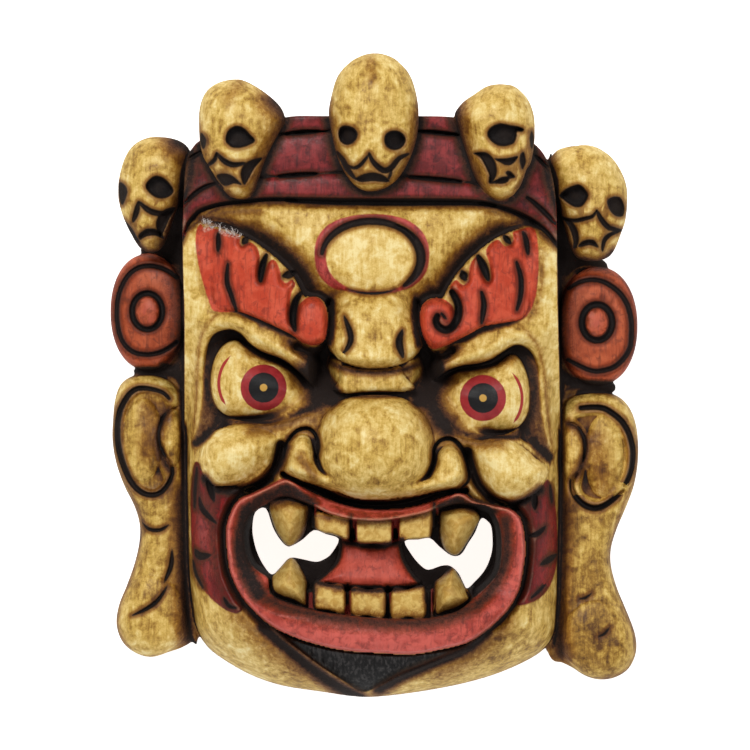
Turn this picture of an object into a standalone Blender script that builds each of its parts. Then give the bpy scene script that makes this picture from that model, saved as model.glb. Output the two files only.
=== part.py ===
"""Carved wooden dance mask: a wrathful face with a third eye, an open fanged mouth,
a three-strip crown band with five small skulls, ear discs and long pierced ears.
One block of wood, hollowed from behind, open through the mouth on both sides of the tongue.

Lengths are millimetres, turned to metres on the way out. The mask lies face up: the back rim
is the plane z = 0, the crown points to +Y and the nose to +Z.

The front is set out on a squared drawing, as a carver would: DRAW is the side of one square,
u runs to the right and v runs down, and MID is the square over the middle of the block.
The drawing is what the eye sees from EYE above the rim, so a high place such as the nose is
drawn a little larger than a low one. spot() takes a square and a height to the real place.
"""

import math

import bmesh
import bpy
import numpy as np
from mathutils import Matrix, Vector

# ---------------------------------------------------------------- sizes
DRAW = 0.5                    # mm in a square of the drawing
MID = (374.5, 374.0)          # the square over the middle of the block
EYE = 1600.0                  # mm from the rim to the eye that drew the front
DRAW_HEIGHT = 45.0            # height at which a square is exactly DRAW

BLOCK = dict(u=371.5, v=405.0, half_u=187.0, half_v=288.0, height=80.0)
BLOCK_CORNER = 6.0            # how square the outline is, 2 is an ellipse
BLOCK_CROWN = 3.0             # how square the section is
HOLLOW = dict(u=371.5, v=402.0, half_u=154.0, half_v=250.0, height=57.0)

CROWN = dict(u=370.0, v=215.0, half_u=185.0, half_v=98.0, height=76.0)
CROWN_CORNER = 4.5
STRIPS = ((126.0, 9.0), (153.0, 20.0), (190.0, 15.0))    # middle v and half width of each strip
STRIP_DROP = 40.0             # how far a strip falls from the middle to the side
STRIP_REACH = 187.0           # half width of the band on the drawing
STRIP_RISE = 76.0             # height of the band in the middle
STRIP_THICK = 5.5

# each skull: u, v, half width, half height, height of its middle, turn about its long axis, lean
SKULLS = (
    (374.0, 122.0, 46.0, 70.0, 85.0, 0.0, 0.0),
    (242.0, 139.0, 44.0, 60.0, 77.0, -38.0, 3.0),
    (495.0, 142.0, 42.0, 58.0, 77.0, 38.0, -4.0),
    (154.0, 193.0, 38.0, 56.0, 38.0, -46.0, 4.0),
    (588.0, 204.0, 40.0, 59.0, 38.0, 46.0, -4.0),
)
SKULL_DEEP = 20.0

# ear discs: u, v, half width, half height; thickness, height of the face, tilt outwards
DISCS = ((149.0, 312.0, 37.0, 58.0, 1.0), (598.0, 326.0, 39.0, 59.0, -1.0))
DISC_TOP = 31.0
DISC_TILT = 10.0
DISC_RINGS = (0.84, 0.34)     # the two grooves, as parts of the disc's half width

GROOVE = 4.0                  # width of a carved line, in squares
GROOVE_DEEP = 3.2             # mm

NOSE_TIP = 112.0
EYE_TOP = 77.0
LIP_TOP = 92.0
TOOTH_TOP = 84.0
TOOTH_DEEP = 22.0
TONGUE_TOP = 72.0

BLANK_STEP = 1.7              # mm, grain of the first rough blank
FINISH_STEP = 1.6             # mm, grain of the finished carving
FACES = 9300                  # triangles left in the finished carving

COLOUR = (0.55, 0.37, 0.12, 1.0)
ROUGHNESS = 0.45


# ---------------------------------------------------------------- tools
def scale_at(z):
    return DRAW * (EYE - z) / (EYE - DRAW_HEIGHT)


def spot(u, v, z):
    """The place in millimetres of a square of the drawing at the height z."""
    s = scale_at(z)
    return Vector(((u - MID[0]) * s, (MID[1] - v) * s, z))


def squares(x, y, z):
    """The squares of the drawing that these places lie on."""
    s = scale_at(z)
    return x / s + MID[0], MID[1] - y / s


def new_collection(name):
    group = bpy.data.collections.new(name)
    bpy.context.scene.collection.children.link(group)
    return group


def object_of(bm, name, group):
    mesh = bpy.data.meshes.new(name)
    bm.to_mesh(mesh)
    bm.free()
    made = bpy.data.objects.new(name, mesh)
    group.objects.link(made)
    return made


def ball(name, group, u, v, z, half_u, half_v, half_z, turn=0.0, spin=0.0, sides=28):
    """An ellipsoid: turn leans it about the long (up) axis, spin turns it on the drawing."""
    bm = bmesh.new()
    bmesh.ops.create_uvsphere(bm, u_segments=sides, v_segments=sides // 2, radius=1.0)
    s = scale_at(z)
    place = (
        Matrix.Translation(spot(u, v, z))
        @ Matrix.Rotation(math.radians(-spin), 4, "Z")
        @ Matrix.Rotation(math.radians(turn), 4, "Y")
        @ Matrix.Diagonal((half_u * s, half_v * s, half_z, 1.0))
    )
    bm.transform(place)
    return object_of(bm, name, group)


def rounded_block(name, group, u, v, half_u, half_v, height, corner, crown, sides=72):
    """A superellipsoid about the rim plane: a squarish outline with a rounded front."""
    bm = bmesh.new()
    bmesh.ops.create_uvsphere(bm, u_segments=sides, v_segments=sides // 2, radius=1.0)
    for vert in bm.verts:
        x, y, z = vert.co
        around = math.atan2(y, x)
        out = min(1.0, math.hypot(x, y)) ** (2.0 / crown)
        up = math.copysign(abs(z) ** (2.0 / crown), z) * height
        cx = math.copysign(abs(math.cos(around)) ** (2.0 / corner), math.cos(around))
        sy = math.copysign(abs(math.sin(around)) ** (2.0 / corner), math.sin(around))
        vert.co = (
            (u - MID[0]) * DRAW + cx * out * half_u * DRAW,
            (MID[1] - v) * DRAW + sy * out * half_v * DRAW,
            up,
        )
    return object_of(bm, name, group)


def as_mesh(curve, group):
    """The curve's mesh as an object of its own, its caps welded to its sides."""
    bpy.context.view_layer.update()
    graph = bpy.context.evaluated_depsgraph_get()
    mesh = bpy.data.meshes.new_from_object(curve.evaluated_get(graph))
    name = curve.name
    made = bpy.data.objects.new(name + "_mesh", mesh)
    made.matrix_world = curve.matrix_world
    bpy.data.objects.remove(curve, do_unlink=True)
    group.objects.link(made)
    bm = bmesh.new()
    bm.from_mesh(mesh)
    bmesh.ops.remove_doubles(bm, verts=bm.verts, dist=1e-4)
    bmesh.ops.recalc_face_normals(bm, faces=bm.faces)
    bm.to_mesh(mesh)
    bm.free()
    return made


def limb(name, group, path, flat=1.0, closed=False):
    """A round bar that swells and thins along a path of (u, v, z, half width in squares).
    flat is its height over its width."""
    data = bpy.data.curves.new(name, "CURVE")
    data.dimensions = "3D"
    data.bevel_depth = 1.0
    data.bevel_resolution = 4
    data.resolution_u = 6
    data.use_fill_caps = True
    line = data.splines.new("NURBS")
    line.points.add(len(path) - 1)
    middle = sum(p[2] for p in path) / len(path)
    for point, (u, v, z, wide) in zip(line.points, path):
        place = spot(u, v, z)
        point.co = (place.x, place.y, middle + (z - middle) / flat, 1.0)
        point.radius = wide * scale_at(z)
    line.order_u = 3
    line.use_endpoint_u = not closed
    line.use_cyclic_u = closed
    made = bpy.data.objects.new(name, data)
    group.objects.link(made)
    made.location = (0.0, 0.0, middle * (1.0 - flat))
    made.scale = (1.0, 1.0, flat)
    return as_mesh(made, group)


def slab(name, group, outline, low, high, soft=0.0):
    """A flat outline of the drawing, raised from low to high, its edges rounded by soft."""
    data = bpy.data.curves.new(name, "CURVE")
    data.dimensions = "2D"
    data.fill_mode = "BOTH"
    data.extrude = (high - low) / 2.0 - soft
    data.bevel_depth = soft
    data.bevel_resolution = 2
    data.offset = -soft
    data.resolution_u = 5
    middle = (low + high) / 2.0
    line = data.splines.new("NURBS")
    line.points.add(len(outline) - 1)
    for point, (u, v) in zip(line.points, outline):
        place = spot(u, v, middle)
        point.co = (place.x, place.y, 0.0, 1.0)
    line.order_u = 3
    line.use_cyclic_u = True
    made = bpy.data.objects.new(name, data)
    group.objects.link(made)
    made.location = (0.0, 0.0, middle)
    return as_mesh(made, group)


def joined(name, parts, group):
    """All these shapes as the loose shells of one mesh."""
    bm = bmesh.new()
    for part in parts:
        part.data.transform(part.matrix_world)
        bm.from_mesh(part.data)
    for part in parts:
        bpy.data.objects.remove(part, do_unlink=True)
    return object_of(bm, name, group)


def settle(obj):
    """Applies an object's modifiers."""
    bpy.context.view_layer.update()
    graph = bpy.context.evaluated_depsgraph_get()
    mesh = bpy.data.meshes.new_from_object(obj.evaluated_get(graph))
    old = obj.data
    obj.modifiers.clear()
    obj.data = mesh
    bpy.data.meshes.remove(old)


def grown_together(obj, step, smooth):
    """Grows loose overlapping shells into one skin, then eases it."""
    skin = obj.modifiers.new("one_skin", "REMESH")
    skin.mode = "VOXEL"
    skin.voxel_size = step
    skin.adaptivity = 0.0
    ease = obj.modifiers.new("ease", "SMOOTH")
    ease.factor = 0.5
    ease.iterations = smooth
    settle(obj)


def cut(obj, cutter, operation="DIFFERENCE"):
    cutter.hide_render = True
    cutter.display_type = "WIRE"
    tool = obj.modifiers.new("cut", "BOOLEAN")
    tool.operation = operation
    tool.object = cutter
    settle(obj)


def arc(u, v, half_u, half_v, start, end, count):
    """Points on an ellipse of the drawing; angles in degrees, 0 to the right, 90 down."""
    turns = np.radians(np.linspace(start, end, count))
    return [(u + half_u * math.cos(a), v + half_v * math.sin(a)) for a in turns]


def away_from(points, pu, pv):
    """Distance in squares from each place (pu, pv) to a line through the points."""
    best = np.full(pu.shape, 1e9)
    for (au, av), (bu, bv) in zip(points[:-1], points[1:]):
        du, dv = bu - au, bv - av
        along = ((pu - au) * du + (pv - av) * dv) / max(du * du + dv * dv, 1e-9)
        along = np.clip(along, 0.0, 1.0)
        best = np.minimum(best, np.hypot(pu - au - along * du, pv - av - along * dv))
    return best


def easing(x):
    x = np.clip(x, 0.0, 1.0)
    return x * x * (3.0 - 2.0 * x)


# ---------------------------------------------------------------- the blank
def strip_fall(side):
    """How far down the drawing a strip has fallen, side running from -1 to 1 across the band."""
    return STRIP_DROP * (1.0 - math.sqrt(max(0.0, 1.0 - side * side)) ** 0.9)


def crown_band(group):
    """The raised crown, and three strips wrapped round it, falling away to the sides."""
    made = [rounded_block("crown", group, corner=CROWN_CORNER, crown=4.0, **CROWN)]
    for number, (mid_v, half) in enumerate(STRIPS):
        path = []
        for turn in np.radians(np.linspace(-88.0, 88.0, 25)):
            side, front = math.sin(turn), math.cos(turn)
            across = math.copysign(abs(side) ** 0.5, side)
            path.append((
                CROWN["u"] + (STRIP_REACH - 3.0) * across,
                mid_v + strip_fall(across * 0.98),
                STRIP_RISE * front ** 0.5 - 1.0 - (4.0 if number == 0 else 0.0),
                half,
            ))
        made.append(limb(f"strip_{number}", group, path, flat=STRIP_THICK / (half * DRAW)))
    return made


def skull(number, group, u, v, half_u, half_v, z, turn, lean):
    """An egg, wide at the crown and narrow at the jaw, turned to face outwards."""
    bm = bmesh.new()
    bmesh.ops.create_uvsphere(bm, u_segments=28, v_segments=18, radius=1.0)
    bm.transform(Matrix.Rotation(math.radians(-90.0), 4, "X"))
    for vert in bm.verts:
        narrow = 1.0 - 0.30 * easing(0.55 - 0.75 * vert.co.y)
        vert.co.x *= narrow
        vert.co.z *= 1.0 - 0.22 * easing(0.4 - 0.8 * vert.co.y)
    s = scale_at(z)
    bm.transform(
        Matrix.Translation(spot(u, v, z))
        @ Matrix.Rotation(math.radians(lean), 4, "Z")
        @ Matrix.Rotation(math.radians(turn * 0.5), 4, "Y")
        @ Matrix.Diagonal((half_u * s * 1.04, half_v * s, SKULL_DEEP, 1.0))
    )
    root = ball(f"skull_root_{number}", group, u + (371.0 - u) * 0.10, v + 14.0, z * 0.62,
                half_u * 0.66, half_v * 0.62, z * 0.55)
    return [object_of(bm, f"skull_{number}", group), root]


def ear_disc(number, group, u, v, half_u, half_v, side):
    bm = bmesh.new()
    bmesh.ops.create_cone(bm, cap_ends=True, segments=48, radius1=1.0, radius2=0.93, depth=2.0)
    s = scale_at(DISC_TOP)
    bm.transform(
        Matrix.Translation(spot(u, v, DISC_TOP * 0.42))
        @ Matrix.Rotation(math.radians(-DISC_TILT * side), 4, "Y")
        @ Matrix.Diagonal((half_u * s * 1.01, half_v * s, DISC_TOP * 0.58, 1.0))
    )
    return [object_of(bm, f"disc_{number}", group)]


def ear(name, group, side):
    """A long ear: a broad upper shell, a waist, and a heavy lobe that joins the jaw.
    side is -1 on the left of the drawing and 1 on the right."""
    top_v, bottom_v = (374.0, 657.0) if side < 0 else (392.0, 679.0)
    far, near = (113.0, 190.0) if side < 0 else (638.0, 558.0)
    long = bottom_v - top_v
    middle = (far + near) / 2.0 + 2.0 * side
    shell = [
        (middle - 3 * side, top_v + 0.00 * long, 22.0, 4.0),
        (middle - 3 * side, top_v + 0.02 * long, 22.0, 22.0),
        (middle - 2 * side, top_v + 0.10 * long, 22.0, 34.0),
        (middle, top_v + 0.24 * long, 23.0, 37.0),
        (middle - 2 * side, top_v + 0.40 * long, 22.0, 34.0),
        (middle - 6 * side, top_v + 0.55 * long, 21.0, 21.0),
        (middle - 5 * side, top_v + 0.68 * long, 21.0, 24.0),
        (middle, top_v + 0.83 * long, 20.0, 35.0),
        (middle - 1 * side, top_v + 0.95 * long, 19.0, 33.0),
        (middle - 1 * side, top_v + 1.00 * long, 19.0, 18.0),
        (middle - 1 * side, top_v + 1.01 * long, 19.0, 3.0),
    ]
    bars = [limb(name + "_shell", group, shell, flat=0.6)]
    for f, w in ((0.22, 30.0), (0.82, 27.0)):
        bars.append(ball(name + "_back", group, middle - 5 * side, top_v + f * long, 2.0,
                         w, 0.16 * long, 18.0))
    for f, high in ((0.18, 0.16), (0.50, 0.26), (0.78, 0.20)):
        bars.append(ball(name + "_root", group, near - 8 * side, top_v + f * long, 8.0,
                         24.0, high * long, 20.0))
    return bars


def brow(name, group, side):
    """A brow of flame lobes: the bar under them and its curled inner end."""
    def at(u):
        return 374.5 + side * u
    curl_v = 319.0 if side < 0 else 322.0
    bars = [limb(name + "_bar", group, [
        (at(163), 232, 68, 13), (at(155), 264, 73, 25), (at(132), 286, 80, 27),
        (at(106), 298, 87, 25), (at(80), 312, 92, 20), (at(62), curl_v, 93, 18),
    ], flat=0.75)]
    for number, (out, v, z, wide, back) in enumerate((
        (158, 244, 74, 14, 8), (131, 248, 81, 15, 10), (103, 266, 87, 13, 12), (80, 288, 92, 10, 10),
    )):
        bars.append(limb(f"{name}_flame_{number}", group, [
            (at(out), v + 30, z, wide), (at(out - 2), v + 8, z + 1, wide * 0.9),
            (at(out - back), v - 9, z - 1, wide * 0.45),
        ], flat=0.7))
    bars.append(ball(name + "_curl", group, at(62), curl_v, 91.0, 17.0, 26.0, 9.0))
    return bars


def face(group):
    made = [
        ball("forehead", group, 372.0, 262.0, 66.0, 118.0, 66.0, 18.0),
        ball("third_eye", group, 372.5, 257.0, 79.0, 51.0, 37.0, 9.0),
        ball("nose_root", group, 375.0, 331.0, 80.0, 48.0, 40.0, 18.0),
        slab("nose_ridge", group, [(342, 372), (372, 367), (406, 372), (416, 394), (334, 394)], 60, 89, 2.0),
        ball("nose", group, 379.0, 447.0, 84.0, 60.0, 56.0, NOSE_TIP - 84.0, sides=36),
        ball("nostril_left", group, 305.0, 454.0, 86.0, 21.0, 27.0, 13.0),
        ball("nostril_right", group, 447.0, 461.0, 86.0, 21.0, 26.0, 13.0),
        ball("cheek_left", group, 246.0, 452.0, 72.0, 55.0, 33.0, 21.0, spin=6.0),
        ball("cheek_right", group, 504.0, 468.0, 72.0, 52.0, 33.0, 21.0, spin=-4.0),
        ball("upper_lip_pad", group, 374.5, 494.0, 74.0, 96.0, 26.0, 16.0),
        ball("beard_left", group, 212.0, 540.0, 52.0, 26.0, 80.0, 18.0, spin=4.0),
        ball("beard_right", group, 537.0, 542.0, 52.0, 26.0, 70.0, 18.0, spin=-4.0),
        ball("jaw_pad", group, 372.0, 612.0, 46.0, 160.0, 76.0, 22.0),
        slab("goatee", group, [(258, 626), (372, 640), (478, 634), (470, 652), (420, 668),
                               (378, 689), (362, 693), (310, 668), (268, 646)], 20, 74, 4.0),
    ]
    lip = [
        (283, 492), (256, 502), (238, 528), (236, 562), (250, 598), (282, 622), (325, 634),
        (375, 637), (425, 634), (470, 622), (502, 594), (514, 556), (508, 524), (485, 502),
        (455, 508), (420, 512), (375, 515), (325, 508),
    ]
    path = []
    for u, v in lip:
        away = abs(u - 374.5) / 140.0
        low = easing((v - 530.0) / 90.0)
        path.append((u, v, LIP_TOP - 12.0 - 13.0 * away ** 2 - 3.0 * low, 14.0 + 6.5 * low))
    made.append(limb("lips", group, path, flat=1.25, closed=True))
    for side, name, dv in ((-1, "left", 0.0), (1, "right", 12.0)):
        def at(u):
            return 374.5 + side * u
        made.append(limb(f"lid_over_{name}", group, [
            (at(168), 372 + dv, 52, 11), (at(160), 340 + dv, 60, 12), (at(134), 326 + dv, 68, 12),
            (at(100), 336 + dv, 73, 11), (at(66), 362 + dv, 76, 11), (at(48), 384 + dv, 78, 10),
        ], flat=0.8))
    return made


# ---------------------------------------------------------------- the carving
def lines_of_face():
    """Carved lines on the drawing: (points, width in squares, depth in mm)."""
    lines = []

    def line(points, wide=GROOVE, deep=GROOVE_DEEP):
        lines.append((points, wide, deep))

    line(arc(371.5, 258.0, 50.0, 37.0, 150.0, 390.0, 24), 5.0, 3.0)
    for u, v, half_u, half_v, side in DISCS:
        for part in DISC_RINGS:
            line(arc(u - 2.0 * side, v, half_u * part, half_v * (part * 0.95 + 0.02), 0, 360, 36), 5.0, 3.5)
    line([(116, 440)] + arc(147.0, 441.0, 29.0, 55.0, 170, 360, 18), 6.0, 6.0)
    line(arc(152.0, 452.0, 24.0, 45.0, 20, 175, 12), 6.0, 6.0)
    line(arc(598.0, 456.0, 36.0, 50.0, -115, 60, 18), 6.0, 6.0)
    line(arc(596.0, 468.0, 24.0, 36.0, 40, 165, 12), 6.0, 6.0)
    line([(150, 522), (157, 529), (168, 525)], 4.0, 2.5)
    line([(171, 550), (168, 572), (152, 598), (132, 616)], 4.0, 3.0)
    for side, curl_v in ((-1, 319.0), (1, 322.0)):
        def at(u):
            return 374.5 + side * u
        line([(at(122), 250), (at(112), 270), (at(110), 282)], 6.0, 5.0)
        line([(at(97), 258), (at(92), 276), (at(94), 286)], 6.0, 5.0)
        line([(at(146), 262), (at(145), 288), (at(137), 308)], 4.0, 3.0)
        line(arc(at(60), curl_v, 9.0, 10.0, 0, 300, 10), 4.0, 3.0)
        line([(at(30), 330), (at(25), 344)], 6.0, 4.0)
        line(arc(at(71), 455, 17.0, 26.0, 180, 360, 12), 5.0, 4.0)
        for step in range(4):
            v = 490.0 + 30.0 * step
            line([(at(176), v), (at(166), v + 22)], 4.0, 3.0)
            line([(at(160), v - 6), (at(152), v + 16)], 4.0, 3.0)
    for edge in (133.0, 174.0, 207.0):
        line([(CROWN["u"] + t * STRIP_REACH, edge + strip_fall(t * 0.98))
              for t in np.linspace(-0.98, 0.98, 31)], 5.0, 3.0)
    for step in range(9):
        u = 300.0 + 18.0 * step
        line([(u, 648), (u + (374 - u) * 0.15, 676)], 3.0, 2.0)
    return lines


def skull_holes():
    """Eye holes and mouth lines of the five skulls."""
    pits = [
        (348, 135, 10, 11), (396, 141, 10, 10), (239, 138, 14, 11), (202, 138, 6, 11),
        (160, 188, 14, 11), (122, 194, 5, 11), (503, 135, 14, 11), (531, 139, 5, 10),
        (574, 196, 13, 11), (616, 206, 9, 10),
    ]
    lines = [
        [(336, 157), (347, 168), (362, 168), (374, 156), (388, 168), (402, 166), (412, 157)],
        [(357, 178), (373, 173), (388, 178)],
        [(207, 166), (217, 153), (229, 162), (246, 160)], [(216, 182), (229, 178), (243, 184)],
        [(131, 222), (146, 205), (156, 213), (172, 210)], [(138, 238), (150, 232), (164, 238)],
        [(480, 163), (494, 160), (506, 153), (517, 164)], [(487, 186), (500, 178), (514, 182)],
        [(566, 224), (580, 222), (594, 213), (606, 226)], [(576, 246), (592, 239), (606, 243)],
    ]
    return pits, lines


def carve(obj):
    """Pushes the front of the blank in along every carved line, pit and socket."""
    mesh = obj.data
    count = len(mesh.vertices)
    place = np.empty(count * 3)
    mesh.vertices.foreach_get("co", place)
    place = place.reshape(-1, 3)
    normal = np.empty(count * 3)
    mesh.vertices.foreach_get("normal", normal)
    normal = normal.reshape(-1, 3)
    pu, pv = squares(place[:, 0], place[:, 1], place[:, 2])
    front = easing((normal[:, 2] + 0.05) / 0.3)
    depth = np.zeros(count)
    for points, wide, deep in lines_of_face():
        near = away_from(points, pu, pv)
        depth = np.maximum(depth, deep * (1.0 - easing(near / wide)))
    pits, lines = skull_holes()
    for u, v, half_u, half_v in pits:
        near = np.hypot((pu - u) / half_u, (pv - v) / half_v)
        depth = np.maximum(depth, 5.5 * (1.0 - easing((near - 0.55) / 0.6)))
    for points in lines:
        near = away_from(points, pu, pv)
        depth = np.maximum(depth, 3.0 * (1.0 - easing(near / 4.5)))
    # the deep hollows between the nose root and the brows and eyes
    for u, v, half_u, half_v, deep in (
        (318, 385, 24, 22, 13), (431, 392, 24, 22, 13), (336, 378, 12, 14, 6), (414, 384, 12, 14, 6),
        (300, 352, 30, 14, 8), (452, 358, 30, 14, 8), (197, 446, 9, 22, 5), (549, 460, 9, 22, 5),
    ):
        near = np.hypot((pu - u) / half_u, (pv - v) / half_v)
        depth = np.maximum(depth, deep * (1.0 - easing((near - 0.2) / 0.9)))
    place -= normal * (depth * front)[:, None]
    # the eye sockets: a lens-shaped well down to a level floor
    for u, v, half_u, half_v, spin in ((262, 386, 60, 44, 12), (488, 398, 56, 44, -12)):
        turn = math.radians(spin)
        du, dv = pu - u, pv - v
        along = (du * math.cos(turn) + dv * math.sin(turn)) / half_u
        across = (-du * math.sin(turn) + dv * math.cos(turn)) / half_v
        well = 1.0 - easing((np.hypot(along, across) - 0.72) / 0.34)
        floor = 61.0
        high = place[:, 2] > floor
        place[high, 2] += ((floor - place[:, 2]) * well * front)[high]
    mesh.vertices.foreach_set("co", place.ravel())
    mesh.update()


def inlays(group):
    """What stands in the sockets and in the mouth: eyeballs, tongue and two rows of teeth."""
    made = [
        ball("eyeball_left", group, 262.0, 384.0, 60.0, 56.0, 39.0, EYE_TOP - 60.0, spin=9.0, sides=36),
        ball("eyeball_right", group, 480.0, 400.0, 60.0, 52.0, 36.0, EYE_TOP - 60.0, spin=-8.0, sides=36),
        slab("tongue", group, [(346, 500), (398, 500), (402, 545), (412, 568), (428, 592), (424, 622),
                               (316, 622), (312, 592), (330, 568), (340, 545)],
             TONGUE_TOP - 24.0, TONGUE_TOP, 3.0),
    ]
    low = TOOTH_TOP - TOOTH_DEEP
    for number, (left, right, top, bottom) in enumerate((
        (316, 350, 500, 540), (356, 394, 505, 543), (399, 432, 502, 541),
    )):
        made.append(slab(f"tooth_upper_{number}", group,
                         [(left, top), (right, top), (right, bottom), (left, bottom)], low, TOOTH_TOP, 2.5))
    for number, (left, right, top, bottom) in enumerate((
        (312, 346, 581, 626), (349, 386, 590, 628), (390, 426, 587, 627),
    )):
        made.append(slab(f"tooth_lower_{number}", group,
                         [(left, top), (right, top), (right, bottom), (left, bottom)], low - 2, TOOTH_TOP - 3, 2.5))
    for name, tip, root in (
        ("fang_upper_left", (292, 544), (290, 508)), ("fang_upper_right", (458, 555), (458, 516)),
        ("fang_lower_left", (289, 557), (290, 602)), ("fang_lower_right", (449, 568), (453, 610)),
    ):
        made.append(limb(name, group, [
            (root[0], root[1] - (12 if tip[1] > root[1] else -14), TOOTH_TOP - 12, 20),
            (root[0], root[1], TOOTH_TOP - 10, 22),
            ((root[0] + tip[0]) / 2, (root[1] + tip[1]) / 2, TOOTH_TOP - 9, 18),
            (tip[0] * 0.8 + root[0] * 0.2, tip[1] * 0.8 + root[1] * 0.2, TOOTH_TOP - 9, 9),
            (tip[0], tip[1], TOOTH_TOP - 9, 1),
        ], flat=1.0))
    return made


# ---------------------------------------------------------------- the mask
for old in list(bpy.data.objects):
    bpy.data.objects.remove(old, do_unlink=True)

mask_group = new_collection("tibetan_cham_mask")
tool_group = new_collection("cutters")

shapes = [rounded_block("block", mask_group, corner=BLOCK_CORNER, crown=BLOCK_CROWN, **BLOCK)]
shapes += crown_band(mask_group)
for index, sizes in enumerate(SKULLS):
    shapes += skull(index, mask_group, *sizes)
for index, sizes in enumerate(DISCS):
    shapes += ear_disc(index, mask_group, *sizes)
for side_name, side_sign in (("left", -1), ("right", 1)):
    shapes += ear("ear_" + side_name, mask_group, side_sign)
    shapes += brow("brow_" + side_name, mask_group, side_sign)
shapes += face(mask_group)

blank = joined("blank", shapes, mask_group)
grown_together(blank, BLANK_STEP, 2)
carve(blank)

# through the mouth, from the lips to the hollow
mouth = slab("mouth_cutter", tool_group, [
    (250, 522), (262, 506), (300, 500), (375, 510), (450, 502), (486, 508), (497, 540), (490, 578),
    (462, 610), (375, 622), (298, 612), (262, 590), (248, 556),
], 20.0, 140.0)
cut(blank, mouth)

mask = joined("carved_mask", [blank] + inlays(mask_group), mask_group)
grown_together(mask, FINISH_STEP, 1)

# the back, hollowed for the wearer's head, and the flat rim it lies on
back = rounded_block("hollow_cutter", tool_group, corner=4.0, crown=3.0, sides=48, **HOLLOW)
thin = mask.modifiers.new("facets", "DECIMATE")
thin.ratio = FACES / (2.0 * len(mask.data.polygons))
settle(mask)
cut(mask, back)
bm = bmesh.new()
bmesh.ops.create_cube(bm, size=1.0)
bm.transform(Matrix.Translation((0.0, 0.0, -100.0)) @ Matrix.Diagonal((600.0, 600.0, 200.0, 1.0)))
below = object_of(bm, "rim_cutter", tool_group)
cut(mask, below)

# to metres, with the middle of the outline over the origin
corners = [Vector(corner) for corner in mask.bound_box]
middle_x = (min(c.x for c in corners) + max(c.x for c in corners)) / 2.0
middle_y = (min(c.y for c in corners) + max(c.y for c in corners)) / 2.0
to_metres = Matrix.Scale(0.001, 4) @ Matrix.Translation((-middle_x, -middle_y, 0.0))
for solid in [mask] + list(tool_group.objects):
    solid.data.transform(to_metres @ solid.matrix_world)
    solid.matrix_world = Matrix.Identity(4)

paint = bpy.data.materials.new("painted_wood")
paint.use_nodes = True
shader = paint.node_tree.nodes["Principled BSDF"]
shader.inputs["Base Color"].default_value = COLOUR
shader.inputs["Roughness"].default_value = ROUGHNESS
shader.inputs["Metallic"].default_value = 0.0
mask.data.materials.clear()
mask.data.materials.append(paint)
mask.data.shade_smooth()
mask.data.set_sharp_from_angle(angle=math.radians(35.0))
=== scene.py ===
import math

import bmesh
import bpy
import numpy as np
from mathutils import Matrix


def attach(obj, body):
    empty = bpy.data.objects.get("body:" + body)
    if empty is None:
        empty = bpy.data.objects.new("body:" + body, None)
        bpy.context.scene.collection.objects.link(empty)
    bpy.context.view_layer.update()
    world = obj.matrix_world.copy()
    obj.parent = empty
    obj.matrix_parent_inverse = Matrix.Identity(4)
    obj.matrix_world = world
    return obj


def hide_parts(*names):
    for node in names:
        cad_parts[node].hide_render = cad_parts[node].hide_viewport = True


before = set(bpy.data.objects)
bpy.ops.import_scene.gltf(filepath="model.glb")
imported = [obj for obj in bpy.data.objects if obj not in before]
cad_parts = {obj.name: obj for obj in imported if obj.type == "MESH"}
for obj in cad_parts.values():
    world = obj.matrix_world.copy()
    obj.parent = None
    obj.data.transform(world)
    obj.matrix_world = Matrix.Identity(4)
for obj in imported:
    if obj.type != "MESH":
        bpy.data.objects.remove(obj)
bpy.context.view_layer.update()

import openvdb as vdb
from mathutils import Matrix, Vector

# The carving is set out on a squared drawing: u runs right, v runs down, one square is half a
# millimetre at DRAW_HEIGHT, seen from EYE above the rim. Heights are millimetres above the rim.
DRAW, MID_U, MID_V, EYE, DRAW_HEIGHT = 0.5, 374.5, 374.0, 1600.0, 45.0
OFF_X, OFF_Y = 0.1, 1.3               # where the drawing's middle lies from the origin, mm
STEP = 1.25    # squares between samples of the carving
MOST_TRIANGLES = 190000
LOW_Z, HIGH_Z = -3.0, 117.0

# ------------------------------------------------------------------ drawing tools


def smooth(points, closed=False, per=6):
    """A Catmull-Rom line through the points."""
    p = np.asarray(points, float)
    n = len(p)
    if closed:
        at = lambda i: p[i % n]
        spans = n
    else:
        at = lambda i: p[min(max(i, 0), n - 1)]
        spans = n - 1
    out = []
    for i in range(spans):
        a, b, c, d = at(i - 1), at(i), at(i + 1), at(i + 2)
        for t in np.arange(per) / per:
            out.append(0.5 * ((2 * b) + (c - a) * t + (2 * a - 5 * b + 4 * c - d) * t * t
                              + (3 * b - a - 3 * c + d) * t ** 3))
    if not closed:
        out.append(p[-1])
    return np.array(out)


def line_distance(line, u, v, reach=1e9):
    """Distance to a polyline and how far along it (0 to 1) the nearest point is."""
    line = np.asarray(line, float)
    steps = np.hypot(*(line[1:, :2] - line[:-1, :2]).T)
    total = max(steps.sum(), 1e-9)
    best = np.full(u.shape, 1e6)
    along = np.zeros(u.shape)
    gone = 0.0
    for (au, av), (bu, bv), size in zip(line[:-1, :2], line[1:, :2], steps):
        du, dv = bu - au, bv - av
        t = np.clip(((u - au) * du + (v - av) * dv) / max(du * du + dv * dv, 1e-9), 0.0, 1.0)
        d = np.hypot(u - au - t * du, v - av - t * dv)
        nearer = d < best
        best = np.where(nearer, d, best)
        along = np.where(nearer, (gone + t * size) / total, along)
        gone += size
    return best, along


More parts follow.
